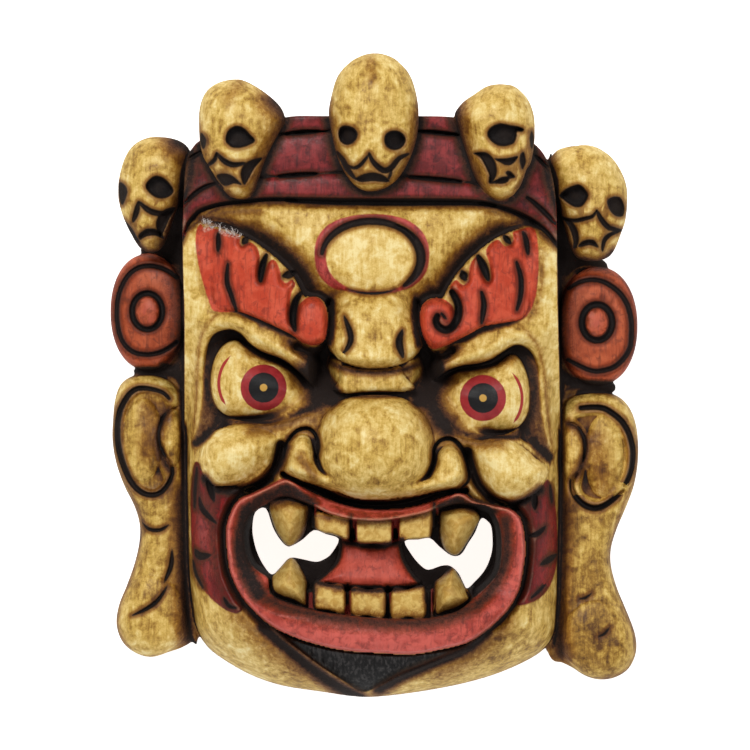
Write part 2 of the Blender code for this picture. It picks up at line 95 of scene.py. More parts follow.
def shape_distance(line, u, v):
    """Signed distance to a closed outline, negative inside."""
    line = np.asarray(line, float)
    closed = np.vstack([line, line[:1]])
    d, _ = line_distance(closed, u, v)
    inside = np.zeros(u.shape, bool)
    for (au, av), (bu, bv) in zip(closed[:-1], closed[1:]):
        if av == bv:
            continue
        crosses = (av > v) != (bv > v)
        inside ^= crosses & (u < (bu - au) * (v - av) / (bv - av) + au)
    return np.where(inside, -d, d)


def boxed(function, points, u, v, reach, far):
    """Works a distance out only near its points, and gives far elsewhere."""
    p = np.asarray(points, float)
    near = ((u > p[:, 0].min() - reach) & (u < p[:, 0].max() + reach)
            & (v > p[:, 1].min() - reach) & (v < p[:, 1].max() + reach))
    out = np.full(u.shape, far)
    if near.any():
        out[near] = function(u[near], v[near])
    return out


def ease(x):
    x = np.clip(x, 0.0, 1.0)
    return x * x * (3.0 - 2.0 * x)


def smax(a, b, k):
    h = np.clip(0.5 + 0.5 * (a - b) / k, 0.0, 1.0)
    return b + (a - b) * h + k * h * (1.0 - h)


def smin(a, b, k):
    return -smax(-a, -b, k)


def hashed(i, j, seed):
    x = np.sin(i * 127.1 + j * 311.7 + seed * 74.7) * 43758.5453
    return x - np.floor(x)


def noise(u, v, size, seed=0):
    """Value noise between -1 and 1."""
    x, y = u / size, v / size
    i, j = np.floor(x), np.floor(y)
    fx, fy = ease(x - i), ease(y - j)
    a, b = hashed(i, j, seed), hashed(i + 1, j, seed)
    c, d = hashed(i, j + 1, seed), hashed(i + 1, j + 1, seed)
    return 2.0 * ((a * (1 - fx) + b * fx) * (1 - fy) + (c * (1 - fx) + d * fx) * fy) - 1.0


def oval(cu, cv, ru, rv, spin, u, v, power=2.0):
    """1 on the oval's edge, 0 at its middle."""
    a = math.radians(spin)
    x = ((u - cu) * math.cos(a) + (v - cv) * math.sin(a)) / ru
    y = (-(u - cu) * math.sin(a) + (v - cv) * math.cos(a)) / rv
    return (np.abs(x) ** power + np.abs(y) ** power) ** (1.0 / power)


def arc(cu, cv, ru, rv, start, end, count=16, spin=0.0):
    turns = np.radians(np.linspace(start, end, count))
    a = math.radians(spin)
    x, y = ru * np.cos(turns), rv * np.sin(turns)
    return np.column_stack([cu + x * math.cos(a) - y * math.sin(a), cv + x * math.sin(a) + y * math.cos(a)])


# ------------------------------------------------------------------ outlines on the drawing
BLOCK_EDGE = smooth([
    (183, 215), (182.5, 260), (184, 320), (184, 400), (185, 480), (186.5, 560), (190, 600), (195, 626), (206, 645),
    (222, 658.5), (251, 675), (282, 685.5), (320, 691.5), (362, 697), (403, 694), (454, 685.5), (493, 675),
    (524, 662), (543, 650), (554, 636), (558, 615), (560, 560), (561, 470), (560, 380), (558, 300), (557, 240),
    (556, 205), (553, 180), (546, 158), (532, 142), (505, 130), (480, 121), (452, 117), (420, 116), (330, 116),
    (290, 116.5), (262, 124), (230, 131), (205, 138), (193, 147), (186, 165),
], True, 4)

SOCKET_L = smooth([
    (206, 352), (211, 338), (219, 331.5), (231, 329.5), (241, 334), (249, 343), (262, 352), (279, 358), (292, 366),
    (304, 377), (315, 391), (322, 403), (318, 411), (305, 414), (290, 420), (270, 424), (250, 423.5), (232, 425),
    (216, 431), (205, 441), (194, 445), (192.5, 441), (198, 425), (202, 400), (203, 375),
], True, 4)
BALL_L = smooth([
    (210.5, 380), (213.5, 361), (222, 346), (235, 339.5), (247, 345), (260, 352), (282, 360), (297, 371), (311, 386),
    (316, 398), (306, 407), (288, 414), (264, 419.5), (238, 419.5), (222, 413), (213, 399),
], True, 4)
SOCKET_R = smooth([
    (432, 386), (438, 378), (448, 370), (462, 365.5), (478, 363.5), (492, 359), (504, 351), (514, 345.5), (523, 346),
    (532, 353), (538, 366), (540, 382), (541, 400), (544, 425), (549, 445), (552, 457), (549, 461), (541, 456),
    (528, 444), (515, 437), (500, 436), (484, 440), (468, 439), (450, 432), (434, 420), (425, 405), (425, 394),
], True, 4)
BALL_R = smooth([
    (431, 393), (442, 380), (457, 370.5), (478, 367), (496, 363), (511, 354), (520, 359), (527, 374), (529.5, 392),
    (528, 412), (519, 427), (503, 434), (484, 433.5), (464, 428), (446, 417), (434, 405),
], True, 4)

BROW_L = smooth([
    (197, 229), (199.5, 224), (210, 225.5), (222, 229), (241, 235.5), (256.5, 243.5), (272, 255), (286, 267.5),
    (295, 279), (303, 295), (309, 296.5), (319, 298), (326, 306), (328.5, 321), (325.5, 339), (315.5, 345.5),
    (303, 343), (291, 334.5), (269, 324), (251, 316), (236, 311), (215, 310.5), (209, 301), (201.5, 277), (196, 249),
], True, 4)
BROW_R = smooth([
    (420, 312), (424, 303), (433, 298), (442, 298.5), (448, 288), (456, 275), (468, 261), (480, 250), (494, 239.5),
    (508, 233), (521, 228.5), (530, 227), (536, 231), (538, 246), (538.5, 270), (536, 295), (530, 311), (521, 320.5),
    (505, 323), (484, 326.5), (470, 334), (456, 341), (443, 347), (432, 349), (424, 339), (420, 326),
], True, 4)
# the red paint of the brows: lobes with dark notches between them and the slab's upper edge
FLAME_L = smooth([
    (196.5, 230), (200.5, 223.5), (204, 229), (209, 227), (218, 229.5), (231, 233), (240, 236), (239.5, 242),
    (242.5, 246.5), (246, 243), (250.5, 242.5), (256.5, 247), (259.8, 257), (258.5, 276), (262, 281), (264.5, 272),
    (269.5, 261), (275.5, 261), (280, 271.5), (281, 279), (286, 283), (292, 279.5), (295.5, 284.5), (291.5, 292),
    (290, 303), (291, 320), (295, 324), (296, 312), (300, 303.5), (309, 297), (319, 298), (325.5, 307), (328, 321),
    (325.5, 339), (315.5, 345.5), (303, 343), (291, 334.5), (269, 324), (251, 316.5), (236, 312), (215, 311.5),
    (209, 301), (201.5, 277), (196, 249),
], True, 3)
FLAME_R = smooth([
    (420, 312), (424, 303), (433, 298), (443, 299), (452, 305), (455.5, 313), (458, 306), (457, 297), (450, 289),
    (452, 283), (457, 280), (462, 285), (468, 281), (470, 266), (475, 257.5), (480, 260), (483, 275), (487, 281.5),
    (491, 278), (489, 262), (486, 251), (492, 242), (499, 240), (504, 246), (510, 245), (514, 238), (513, 232),
    (522, 229), (529.5, 227), (535.5, 231), (538, 246), (538.5, 270), (536, 295), (530, 311), (521, 320), (505, 323),
    (484, 326.5), (470, 334), (456, 341), (443, 347), (432, 349), (424, 339), (420, 326),
], True, 3)

CHEEK_L = smooth([
    (199.5, 455), (205, 440), (216, 431), (229, 426), (246, 424), (262, 427.5), (276, 434), (281, 442), (276, 455),
    (263, 469), (247, 480), (231, 486), (214, 485), (204, 475), (199, 464),
], True, 4)
CHEEK_R = smooth([
    (470, 452), (478, 443), (490, 438.5), (505, 437), (521, 446), (535, 458), (547.5, 469), (544, 482), (534.5, 493.5),
    (518, 500.5), (503, 502), (490, 495), (480, 481), (473, 464),
], True, 4)

LIP_OUT = smooth([
    (284.6, 478), (269, 485), (254, 492), (239, 499), (231, 511), (226, 527), (226.3, 546), (228.5, 565), (231, 576),
    (241, 596), (256.5, 614), (272, 626.5), (290, 635.5), (308, 642), (333, 648.5), (358, 652), (380, 653), (403, 654.5),
    (420, 653.5), (441, 649.5), (467, 643), (486, 631.5), (503, 616), (514, 601), (520.5, 586), (524.5, 562), (525.7, 550),
    (524.3, 533), (520.5, 518), (509, 507.5), (492.5, 504.5), (477, 502), (464, 493.5), (456, 492), (447, 495.5),
    (429, 502), (410, 507), (390, 509), (365, 508.5), (345, 504.5), (327, 498.5), (308, 490), (296, 482),
], True, 3)
LIP_IN = smooth([
    (286, 497), (272, 501), (259, 507.5), (249, 516.5), (244, 530.5), (245, 549.5), (251, 565), (259, 572), (268, 579),
    (270, 594), (290, 603), (310, 609), (330, 613), (350, 615.5), (375, 618), (400, 619), (425, 618.5), (440, 616),
    (458, 611), (472, 600), (490, 584), (499, 571), (502, 552), (501.5, 533), (498, 520), (490, 508), (476, 505),
    (458, 503), (440, 507), (425, 513), (402, 518), (380, 521), (360, 520.5), (345, 518), (325, 512), (308, 503),
], True, 3)
HOLE_L = smooth([
    (266, 508), (255, 512), (252, 528), (253.5, 541), (257, 553), (263, 565), (272, 575), (281, 567), (290, 558),
    (303, 559.5), (316, 562), (325, 559), (332, 553), (339, 539), (326, 534), (314, 530), (303, 539), (293, 545),
    (287, 546), (280, 539), (273, 527),
], True, 3)
HOLE_R = smooth([
    (404.5, 541), (418, 539.5), (430, 538), (439, 546), (449, 554), (456, 556), (462, 553), (468, 543), (475, 532),
    (481, 518), (488, 521), (492, 528), (493, 546), (490, 560), (484, 572), (475, 582), (467, 589), (463, 583),
    (458, 573), (450, 566), (441, 566), (428, 570), (419, 564), (411, 554),
], True, 3)

UPPER_TEETH = (
    smooth([(315.5, 512), (332, 514), (348.5, 517), (348.7, 538.5), (333, 534.5), (316, 530)], True, 4),
    smooth([(357, 517), (375, 519), (391.5, 519), (391, 543), (374, 543), (357, 541.5)], True, 4),
    smooth([(399.5, 518), (415, 515), (431, 510), (430, 538), (415, 539.5), (399.5, 540.5)], True, 4),
)
UPPER_FANGS = (
    smooth([(268, 503), (274, 497), (290, 494), (306, 498), (313, 506), (308, 522), (303, 536), (294, 545), (287, 546),
            (280, 538), (273, 524)], True, 4),
    smooth([(438, 512), (447, 507), (460, 505), (474, 509), (480, 518), (475, 529), (467, 543), (459, 554), (452, 555),
            (444, 548), (440, 534)], True, 4),
)
LOWER_TEETH = (
    smooth([(314, 582), (329, 584.5), (344, 587), (344.5, 613), (329, 611), (314, 607)], True, 4),
    smooth([(351, 588.5), (368, 590), (385, 590.5), (384.5, 617.5), (368, 616.5), (351, 614)], True, 4),
    smooth([(391.5, 590.5), (408, 589), (424, 586.5), (425, 617), (408, 618), (391, 618)], True, 4),
)
LOWER_FANGS = (
    smooth([(290, 557), (297, 562), (303, 572), (308, 585), (308, 608), (292, 604), (276, 597), (270, 588), (271.5, 577),
            (280, 567)], True, 4),
    smooth([(433, 586), (441, 577), (449, 569), (454, 568), (460, 577), (466, 588), (471, 600), (458, 610), (446, 614),
            (434, 616)], True, 4),
)
TONGUE = smooth([
    (340, 536), (370, 541), (400, 538), (402, 548), (406, 561), (414, 574), (421, 582.5), (410, 588), (384, 590.5),
    (358, 590), (332, 586.5), (315, 582), (326, 573), (335, 562), (338.5, 549),
], True, 4)

GOATEE = smooth([
    (266, 622), (280, 632), (300, 641), (330, 649.5), (360, 653), (400, 655.5), (430, 653), (462, 646), (484, 634),
    (474, 645), (450, 655), (423, 666), (397, 676.5), (378, 686.5), (362, 692), (346, 682.5), (320, 666), (295, 647.5),
    (276, 632.5),
], True, 3)
BEARD_L = smooth([
    (194, 464), (199, 463), (204, 475), (213, 485.5), (226, 487), (240, 490), (232, 505), (224, 527), (224, 548),
    (227, 568), (234, 585), (242, 599), (243, 609), (235, 613.5), (221, 607), (206, 593), (196.5, 575), (191.5, 545),
    (190.5, 515), (191, 490),
], True, 3)
BEARD_R = smooth([
    (547.5, 479), (551.5, 485), (554, 495), (557, 520), (557.5, 545), (556.3, 567), (550, 586), (540, 598), (524, 605),
    (516, 603), (523, 587), (527, 565), (528, 545), (526, 522), (519, 509), (519, 503), (534, 495), (544, 484),
], True, 3)

NOSE_ROOT = smooth([
    (340, 258), (375, 256), (408, 258), (414, 280), (417, 300), (422, 320), (424.5, 338), (419, 352), (406, 362),
    (390, 367.5), (372, 369), (354, 366.5), (340, 360), (330, 350), (325.5, 336), (327, 316), (331, 296), (334, 276),
], True, 4)
RIDGE = smooth([
    (342, 366), (358, 367.5), (375, 368), (390, 367.5), (400, 366), (405, 376), (415, 388), (406, 391.5), (390, 393),
    (372, 393.5), (352, 394.5), (338, 392.5), (333.5, 389), (339, 381),
], True, 4)
WING_L = smooth([(286, 452), (291, 441), (301, 434), (310, 438), (315, 450), (318, 462), (330, 476), (350, 490), (336, 491),
                 (318, 484.5), (303, 478.5), (293, 473.5), (287, 464)], True, 4)
WING_R = smooth([(435, 463), (438, 452), (448, 444.5), (457.5, 450), (464, 462), (465, 476), (459, 486), (448, 489.5),
                 (432, 491), (410, 496), (414, 488), (428, 476)], True, 4)

EAR_L = smooth([
    (113, 420), (115, 400), (121, 384), (134, 375.5), (152, 373.5), (168, 378), (178, 386), (187, 398), (190, 440),
    (190, 520), (192, 600), (193, 632), (184, 644), (166, 653), (150, 657), (134, 652), (122, 641), (116.5, 624),
    (119, 605), (127, 585), (135, 562), (139.5, 541), (139.5, 523), (134, 505), (124, 485), (116, 462), (112.5, 440),
], True, 4)
EAR_R = smooth([
    (554, 410), (562, 401), (575, 394), (592, 391.5), (610, 393), (624, 401), (633, 415), (637.5, 435), (638, 460),
    (634, 485), (626, 507), (617, 528), (611, 548), (611, 566), (617, 588), (627, 612), (635, 634), (636, 652),
    (629, 668), (616, 677), (600, 679.5), (584, 675), (568, 663), (556, 648), (553, 620), (554, 560), (555, 480),
], True, 4)
ROOT_L = smooth([(192, 160), (178, 186), (162, 222), (150, 243), (142, 247), (141, 251), (144, 257), (157, 267), (174, 290),
                 (177, 312), (172, 340), (154, 362), (137, 368), (134, 372), (140, 380), (166, 388), (176, 410), (178, 440),
                 (176, 480), (176, 520), (178, 560), (181, 600), (187, 630), (200, 626), (200, 400)], True, 3)
ROOT_R = smooth([(548, 160), (560, 196), (577, 238), (592, 255), (603, 260), (607.5, 266), (602, 272), (582, 276), (568, 292),
                 (565, 325), (570, 356), (590, 376), (611, 382), (615.5, 387), (611, 393), (584, 400), (570, 416),
                 (568, 440), (570, 480), (570, 520), (567, 560), (564, 600), (559, 630), (545, 626), (545, 400)], True, 3)
DISC_L, DISC_R = (148.0, 312.0, 37.5, 58.0), (598.0, 326.0, 39.5, 59.0)

# carved lines: points, widest half width in squares, depth in mm, and 1 where black paint fills them
LINES = []


def cut_line(points, wide, deep, ink=1.0, taper=0.5, curved=True):
    LINES.append((smooth(points, False, 5) if curved else np.asarray(points, float), wide, deep, ink, taper))


BAND_TOP = smooth([(150, 60), (560, 60)], False, 2)
BAND_HIGH = smooth([(178, 172), (184, 165), (193, 157), (204, 151.5), (225, 145), (250, 139), (286, 134), (318, 131.5),
                    (370, 130), (420, 131.5), (457, 135), (490, 139.5), (515, 146), (535, 156), (551, 173), (562, 192)], False, 6)
BAND_MID = smooth([(178, 214), (183, 206), (190, 198), (200, 190), (212, 184.5), (235, 180), (279, 176.5), (316, 174),
                   (370, 173), (410, 177), (461, 182), (500, 189), (527, 197.5), (551, 219), (562, 234)], False, 6)
BAND_LOW = smooth([(178, 250), (183, 237), (187, 226), (195, 215), (204, 209), (228, 203), (272, 199), (296, 200),
                   (340, 201.5), (400, 202), (440, 202), (480, 203), (505, 208.5), (524, 216.5), (540, 226.5),
                   (551, 237), (562, 252)], False, 6)


def band_v(line, u):
    """How far down the drawing a groove of the crown lies at u."""
    return np.interp(u, line[:, 0], line[:, 1])


def part_of(line, start, end):
    keep = (line[:, 0] >= start) & (line[:, 0] <= end)
    return line[keep]


for groove_line, spans, wide, deep in (
    (BAND_HIGH, ((181, 207), (282, 321), (417, 460), (533, 559)), 2.6, 3.2),
    (BAND_MID, ((181, 215), (272, 318), (408, 466), (524, 559)), 2.5, 3.2),
):
    for start, end in spans:
        cut_line(part_of(groove_line, start, end), wide, deep, taper=0.35, curved=False)
for start, end, wide in ((181, 300, 2.2), (286, 494, 3.6), (478, 560, 2.6)):
    cut_line(part_of(BAND_LOW, start, end), wide, 3.6, taper=0.25, curved=False)
# brows
cut_line([(218.3, 233), (218.6, 243), (218, 251)], 2.6, 3.5)
cut_line([(227.8, 264), (227, 281.6), (231, 294.4), (236.5, 311)], 2.4, 3.0)
cut_line([(266.5, 255), (262.5, 266), (260.4, 281)], 3.4, 5.0)
cut_line([(247, 238), (243.5, 243)], 3.5, 4.0)
cut_line([(294, 273), (284, 276)], 4.0, 4.0)
cut_line([(301, 293), (295, 303), (292.8, 319), (295, 330)], 3.8, 6.0)
cut_line([(523, 232), (526, 240), (528, 254)], 2.8, 3.0)
cut_line([(516.5, 262), (521, 279), (520.5, 296), (517, 310)], 2.7, 3.2)
cut_line([(481.5, 292), (484, 305), (481.5, 323)], 2.8, 3.2)
cut_line([(478, 256), (484, 268), (488, 279)], 4.0, 5.0)
cut_line([(504, 236), (510, 243)], 3.0, 4.0)
cut_line([(462, 272), (465, 279)], 4.2, 4.0)
cut_line([(452, 292), (458, 304), (458, 316), (453, 326), (446, 330), (439, 327), (436, 321), (437.5, 316)], 4.0, 6.0, taper=0.25)
cut_line([(441, 313), (446, 319)], 1.6, 2.0)
# third eye
cut_line(arc(371.0, 258.0, 49.5, 36.8, 187, 330, 22), 3.6, 2.0, taper=0.45)
cut_line(arc(370.5, 258.0, 50.5, 37.0, 300, 408, 22), 4.6, 2.4, taper=0.6)
cut_line(arc(372.0, 258.0, 50.5, 35.5, 62, 118, 10), 1.5, 1.2, ink=0.55, taper=0.6)
cut_line([(344, 316), (348.6, 327.6), (351, 338), (348.4, 346.7), (342.5, 354)], 2.9, 3.2, taper=0.8)
cut_line([(402.5, 330), (399.2, 343), (403.3, 358)], 3.6, 3.4, taper=0.8)
# nostril arches
cut_line([(283.5, 458), (286, 444.5), (296, 431.5), (308, 428.5), (316, 435.5), (319, 447.5), (316.3, 459)], 1.9, 4.5, taper=0.6)
cut_line([(434.5, 463), (433.6, 450), (441, 440.2), (453, 439.5), (463.2, 450.5), (468.6, 465), (468.6, 480), (461, 488)], 2.2, 5.0, taper=0.6)
# beard leaves
cut_line([(197, 467), (195.5, 485), (194.5, 508)], 1.8, 2.0)
cut_line([(207, 478), (211, 490), (214, 502)], 3.6, 3.5, taper=0.9)
cut_line([(199, 496), (203, 510), (217, 524)], 2.8, 3.0, taper=0.9)
cut_line([(195, 549), (200, 556), (211, 555)], 3.8, 3.5, taper=0.9)
cut_line([(193, 560), (196, 574), (203, 588)], 1.7, 2.0)
cut_line([(224, 598), (229, 606), (236, 608)], 2.0, 2.5)
cut_line([(536, 494), (534.5, 502), (535, 510)], 3.4, 3.2, taper=0.9)
cut_line([(550, 485), (551, 495), (552, 503)], 1.7, 2.0)
cut_line([(527, 536), (537, 534), (546, 526)], 2.8, 3.0, taper=0.9)
cut_line([(540, 565), (547, 561), (557, 554)], 3.2, 3.2, taper=0.9)
cut_line([(531, 598), (538, 592), (546, 583)], 1.8, 2.0)
# gaps between the teeth
TOOTH_GAPS = []
for gu, top, bottom, wide in ((313.3, 497, 531, 1.5), (350.6, 514, 541, 1.3), (395.5, 514, 543, 0.5), (434.2, 503, 543, 1.9),
                              (310.9, 566, 606, 1.5), (347.6, 585, 614, 1.5), (387.6, 587, 618, 2.0), (428.3, 574, 617, 2.3)):
    TOOTH_GAPS.append((np.array([(gu, top), (gu + 0.4, bottom)], float), wide, 3.0, 0.8, 0.1))
# goatee strokes
for step in range(17):
    gu = 290.0 + 10.5 * step
    gv = 650.5 + 3.5 * math.sin(step * 2.1)
    low = min(690.0 - abs(gu - 362.0) * 0.42, 688.0)
    if low > gv + 4:
        cut_line([(gu, gv), (gu + (364 - gu) * 0.03, low - 3)], 1.1, 0.8, ink=0.0, taper=0.9, curved=False)
# ears
cut_line([(169, 398.5), (163.5, 393), (154.5, 389.7), (144.5, 388.2), (136.5, 389), (129.5, 394), (123.8, 402.5), (119.8, 411.5),
          (117.6, 424.5), (117.6, 439), (120, 454), (124.5, 468), (130, 480), (137, 488.8), (145, 493.8), (153.5, 495),
          (161.5, 491.8), (168.3, 483.6), (172.3, 474), (172, 466.5)], 3.1, 4.5, taper=0.45)
cut_line([(172, 466.5), (167.5, 459.5), (162.5, 451.5), (159.3, 442), (158.8, 432), (162, 421.3), (168.2, 412.6), (177.5, 407)], 2.6, 4.0, ink=0.0, taper=0.5)
cut_line([(142, 522), (149, 529), (160, 530), (170, 524)], 1.9, 2.4, taper=0.9)
cut_line([(172, 549), (171, 566), (164, 583)], 2.4, 2.6, taper=0.9)
cut_line([(168, 585), (158, 600), (146, 609), (131, 616)], 2.1, 2.6, taper=0.9)
cut_line([(581, 408), (592.5, 407.2), (603.4, 408.2), (613.2, 413.7), (621.1, 420.6), (627.1, 429.5), (631, 440.3),
          (633, 452.2), (632, 466), (629, 477), (625, 485)], 2.9, 4.5, taper=0.15)
cut_line([(623, 490.5), (615.2, 497.6), (607.3, 503.6), (599.4, 507.5), (591.5, 507.8), (582.6, 503.8), (575.7, 496.7),
          (572.2, 487.8), (572.4, 480), (576.7, 474)], 3.0, 5.0, taper=0.3)
cut_line([(565.5, 423.8), (572.7, 423.5), (578.7, 428.5), (583.6, 437.4), (585.6, 446.3), (584.2, 457), (580, 466)], 2.6, 4.0, ink=0.0, taper=0.7)
cut_line([(578, 599), (585, 598), (592, 593)], 1.3, 1.5, taper=0.9)
cut_line([(597, 637), (604, 634), (610, 627)], 1.3, 1.5, taper=0.9)
# ear discs
cut_line([(177, 277.5), (168, 271), (158, 267), (148, 265.8), (138, 268), (128.5, 275), (121, 288), (117.3, 303), (117, 318), (119.5, 334),
          (125, 345), (134, 352.3), (146, 354.6), (158, 353), (168, 348.5), (177, 342)], 2.4, 2.8, taper=0.0)
cut_line(arc(147.3, 311.3, 15.2, 18.2, 0, 360, 32), 2.9, 3.2, taper=0.0, curved=False)
cut_line([(568.5, 288.5), (577.7, 282.9), (587, 280.2), (596.2, 280), (605.5, 282.7), (616.5, 290), (623.9, 298.4), (628.6, 308.6),
          (631.4, 321.5), (631.4, 336.3), (630, 347.4), (623.9, 358.3), (614.7, 366.6), (605.5, 370), (596.2, 371.4),
          (587, 369.2), (576, 364), (567.5, 359.5)], 2.7, 2.8, taper=0.3)
cut_line(arc(597.0, 322.4, 15.2, 18.0, 0, 360, 32), 3.3, 3.2, taper=0.0, curved=False)
FACE_LINES = list(LINES)

# skulls: outline, height of their middle, half their thickness, squares over which they round off
SKULLS = (
    (smooth([(328.6, 114), (331, 97), (337.5, 76), (350, 62), (363, 55), (375, 53), (387, 55), (398, 61), (409.5, 74),
             (416, 92), (419, 114), (417.5, 134), (413.5, 150), (408, 163), (401, 175), (393, 183.5), (382, 189.5),
             (369, 191.5), (358, 188), (349.5, 180), (343, 170), (337.5, 158), (332, 136)], True, 4), 86.0, 20.5, 41.0),
    (smooth([(198.8, 124), (199.5, 108), (205, 93), (217, 83), (235, 79), (248, 82), (266, 93), (280, 106), (285, 118),
             (281, 130), (272, 147), (265, 163), (259, 180), (253, 193), (243, 198.8), (231, 197), (222, 188),
             (211.5, 171), (203, 156), (199.5, 140)], True, 4), 76.0, 20.0, 38.0),
    (smooth([(454, 116), (462, 103), (474.5, 94), (485, 87), (494, 84.4), (504, 84), (514, 86), (523, 93), (529, 101),
             (533, 111), (534.7, 121), (535, 135), (533.5, 150), (531, 162), (527, 169), (524, 177), (521, 185),
             (517, 191), (511, 197), (502, 200), (493, 198.5), (482, 189), (474, 177), (469, 163), (464, 148),
             (459, 132)], True, 4), 76.0, 20.0, 35.0),
    (smooth([(126, 155), (119.5, 175), (118, 196), (123, 217), (132, 236), (141, 249), (152, 253), (162, 248), (168, 236),
             (175, 215), (183, 195), (189, 175), (191, 158), (188, 147), (178, 140), (164, 137), (150, 137),
             (136, 143)], True, 4), 38.0, 18.5, 33.0),
    (smooth([(548.5, 162), (556, 151), (566, 147), (576, 145.5), (585, 144.8), (594, 146.2), (602.5, 150.2), (611.4, 157),
             (618.6, 166.3), (624, 177), (626.8, 187), (627.5, 197.5), (626.8, 211), (625, 222.5), (621, 234),
             (616, 247), (611, 255), (604, 259.5), (594, 261.3), (583, 260.4), (575, 256), (570, 247), (566, 234),
             (561, 216), (555, 196), (549.5, 178)], True, 4), 38.0, 18.5, 35.0),
)
SKULL_PITS = [  # outlines of the eye, nose and mouth hollows: skull, depth in mm, outline
    (0, 7.0, [(344.5, 125.6), (353, 127.5), (357.6, 133.5), (355, 141), (347.5, 145), (340.5, 141.5), (338.4, 134), (340, 128)]),
    (0, 7.0, [(384.3, 140.5), (386, 134), (392, 130.8), (399, 131.3), (404.5, 136), (405.3, 142), (401, 148), (394, 150), (387, 147)]),
    (0, 3.5, [(355.5, 178.5), (362.5, 174.5), (373, 172.3), (383, 175), (389.5, 180.5), (386, 182.2), (373, 181.2), (360, 182)]),
    (1, 6.5, [(225.6, 140.3), (228, 131), (236, 126), (243.5, 128), (249.5, 134), (255, 141), (245, 146.6), (236, 148), (230, 146)]),
    (1, 2.0, [(200.4, 133), (204, 135), (206.3, 140.5), (204.5, 149), (202, 148), (200, 141)]),
    (1, 3.5, [(216.5, 176), (224, 173.3), (233, 176), (242, 185), (234, 183.4), (224, 186)]),
    (1, 4.0, [(262.5, 157.7), (250, 160.5), (243, 166), (240.6, 175), (244.2, 185), (249.5, 177), (254.5, 168)]),
    (2, 7.0, [(487.4, 134), (489.6, 128.6), (495, 125), (502, 123.7), (509.3, 125.2), (518, 126.5), (524, 129.2), (522, 131.8),
              (517, 131.9), (516.4, 136.6), (513.8, 142.9), (507.5, 145.6), (500.4, 146), (494, 143.3), (489, 138.5)]),
    (2, 1.6, [(531.6, 130.5), (533.8, 135.7), (533.6, 144.6), (532, 151), (530.3, 146.4), (529.4, 137.5)]),
    (2, 4.5, [(473.2, 153.4), (478, 152.2), (485.2, 152.2), (490.5, 155.4), (494.6, 160.7), (496.6, 168), (496.6, 174), (494.6, 179),
              (490.5, 184), (488.6, 181.3), (489.2, 175), (487, 169.6), (483.4, 162.5), (479.6, 157)]),
    (2, 3.5, [(494.5, 158.7), (502, 158.6), (509.5, 157.7), (517.6, 156), (516.6, 159.6), (512, 164.3), (506.6, 165.3), (501.3, 163), (497.7, 161.2)]),
    (2, 3.5, [(523.6, 151.6), (520.2, 154.5), (519.4, 160.7), (520.7, 166), (522.2, 170), (524.6, 166), (526, 161.6), (525, 156)]),
    (2, 4.0, [(489.4, 183.3), (495, 183.7), (503, 183.7), (507.7, 181.8), (510, 178.8), (515.4, 177.3), (511.3, 172), (507.5, 170.8),
              (505.5, 173), (507.4, 176), (502, 176.8), (497.6, 179)]),
    (3, 6.5, [(145.6, 187), (149, 180), (156, 176), (165, 179), (173.4, 189.5), (170, 196), (161, 198.5), (152, 195)]),
    (3, 2.0, [(119, 183), (124, 184), (127.5, 191), (125, 201), (121.5, 205), (119, 196)]),
    (3, 4.0, [(138.5, 235), (146, 229), (154, 228.6), (161, 232), (164, 239), (155, 235.6), (146, 236.5), (140, 240)]),
    (3, 4.0, [(176, 207.5), (166, 209), (158.5, 216), (156, 226), (160, 238), (165, 229), (170, 218)]),
    (4, 7.0, [(559.4, 195.8), (565, 189.6), (575.7, 184.9), (581.3, 185.7), (585.7, 190.3), (588, 195.7), (584.8, 203), (580, 207),
              (573.9, 206.6), (567.7, 203), (563, 199.4)]),
    (4, 5.0, [(607.2, 201.1), (610.4, 197.7), (616, 196.4), (621, 198.3), (624.4, 206.4), (623.9, 214.3), (620.4, 216.9), (614.8, 215.5),
              (610.3, 211), (608, 206)]),
    (4, 3.5, [(577.6, 246.6), (582, 241.5), (589, 239.4), (595, 241), (598.6, 247.8), (594.5, 246.4), (589, 245.1), (582, 246.8)]),
]
SKULL_LINES = [  # skull, half width, depth, line
    (0, 2.9, 3.4, [(337, 152), (343, 160.5), (348, 170), (355.5, 179)]),
    (0, 1.9, 2.2, [(347, 165), (354, 168), (361, 164.5), (369, 154.5)]),
    (0, 3.0, 3.4, [(369, 153.5), (374, 163), (383.6, 170.3), (391, 168), (399, 158.5), (408.5, 154)]),
    (0, 1.6, 1.8, [(391, 169), (390.5, 174), (388, 180)]),
    (1, 2.2, 3.0, [(216.5, 153), (214.5, 160), (207, 166)]),
    (1, 2.8, 3.2, [(216.5, 153), (223.5, 160.5), (233, 164.8), (245, 163.2)]),
    (1, 1.6, 1.8, [(211, 174), (216, 181), (223.5, 188.5)]),
    (3, 2.9, 3.2, [(138.5, 202), (136.5, 212), (133, 221.5)]),
    (3, 2.9, 3.2, [(139, 202), (149, 210.5), (161, 213.6), (171, 210.5)]),
    (3, 1.9, 2.0, [(123.5, 220.5), (129, 227), (135, 237), (140, 243)]),
    (4, 2.1, 3.0, [(596.7, 210.5), (592.7, 216.2), (586.4, 218.2), (575.7, 220.6), (566.8, 219.4), (561, 216.6)]),
    (4, 2.7, 3.2, [(596.7, 210.5), (601.6, 219.8), (607.9, 226.9), (614.1, 229.2), (622, 230.7)]),
    (4, 2.3, 3.0, [(619, 231.5), (610.5, 234.4), (604.3, 240.4), (602.3, 251)]),
    (4, 3.3, 3.6, [(564, 218.5), (570, 223.4), (574.2, 231.4), (576, 240.4), (574.6, 249)]),
]


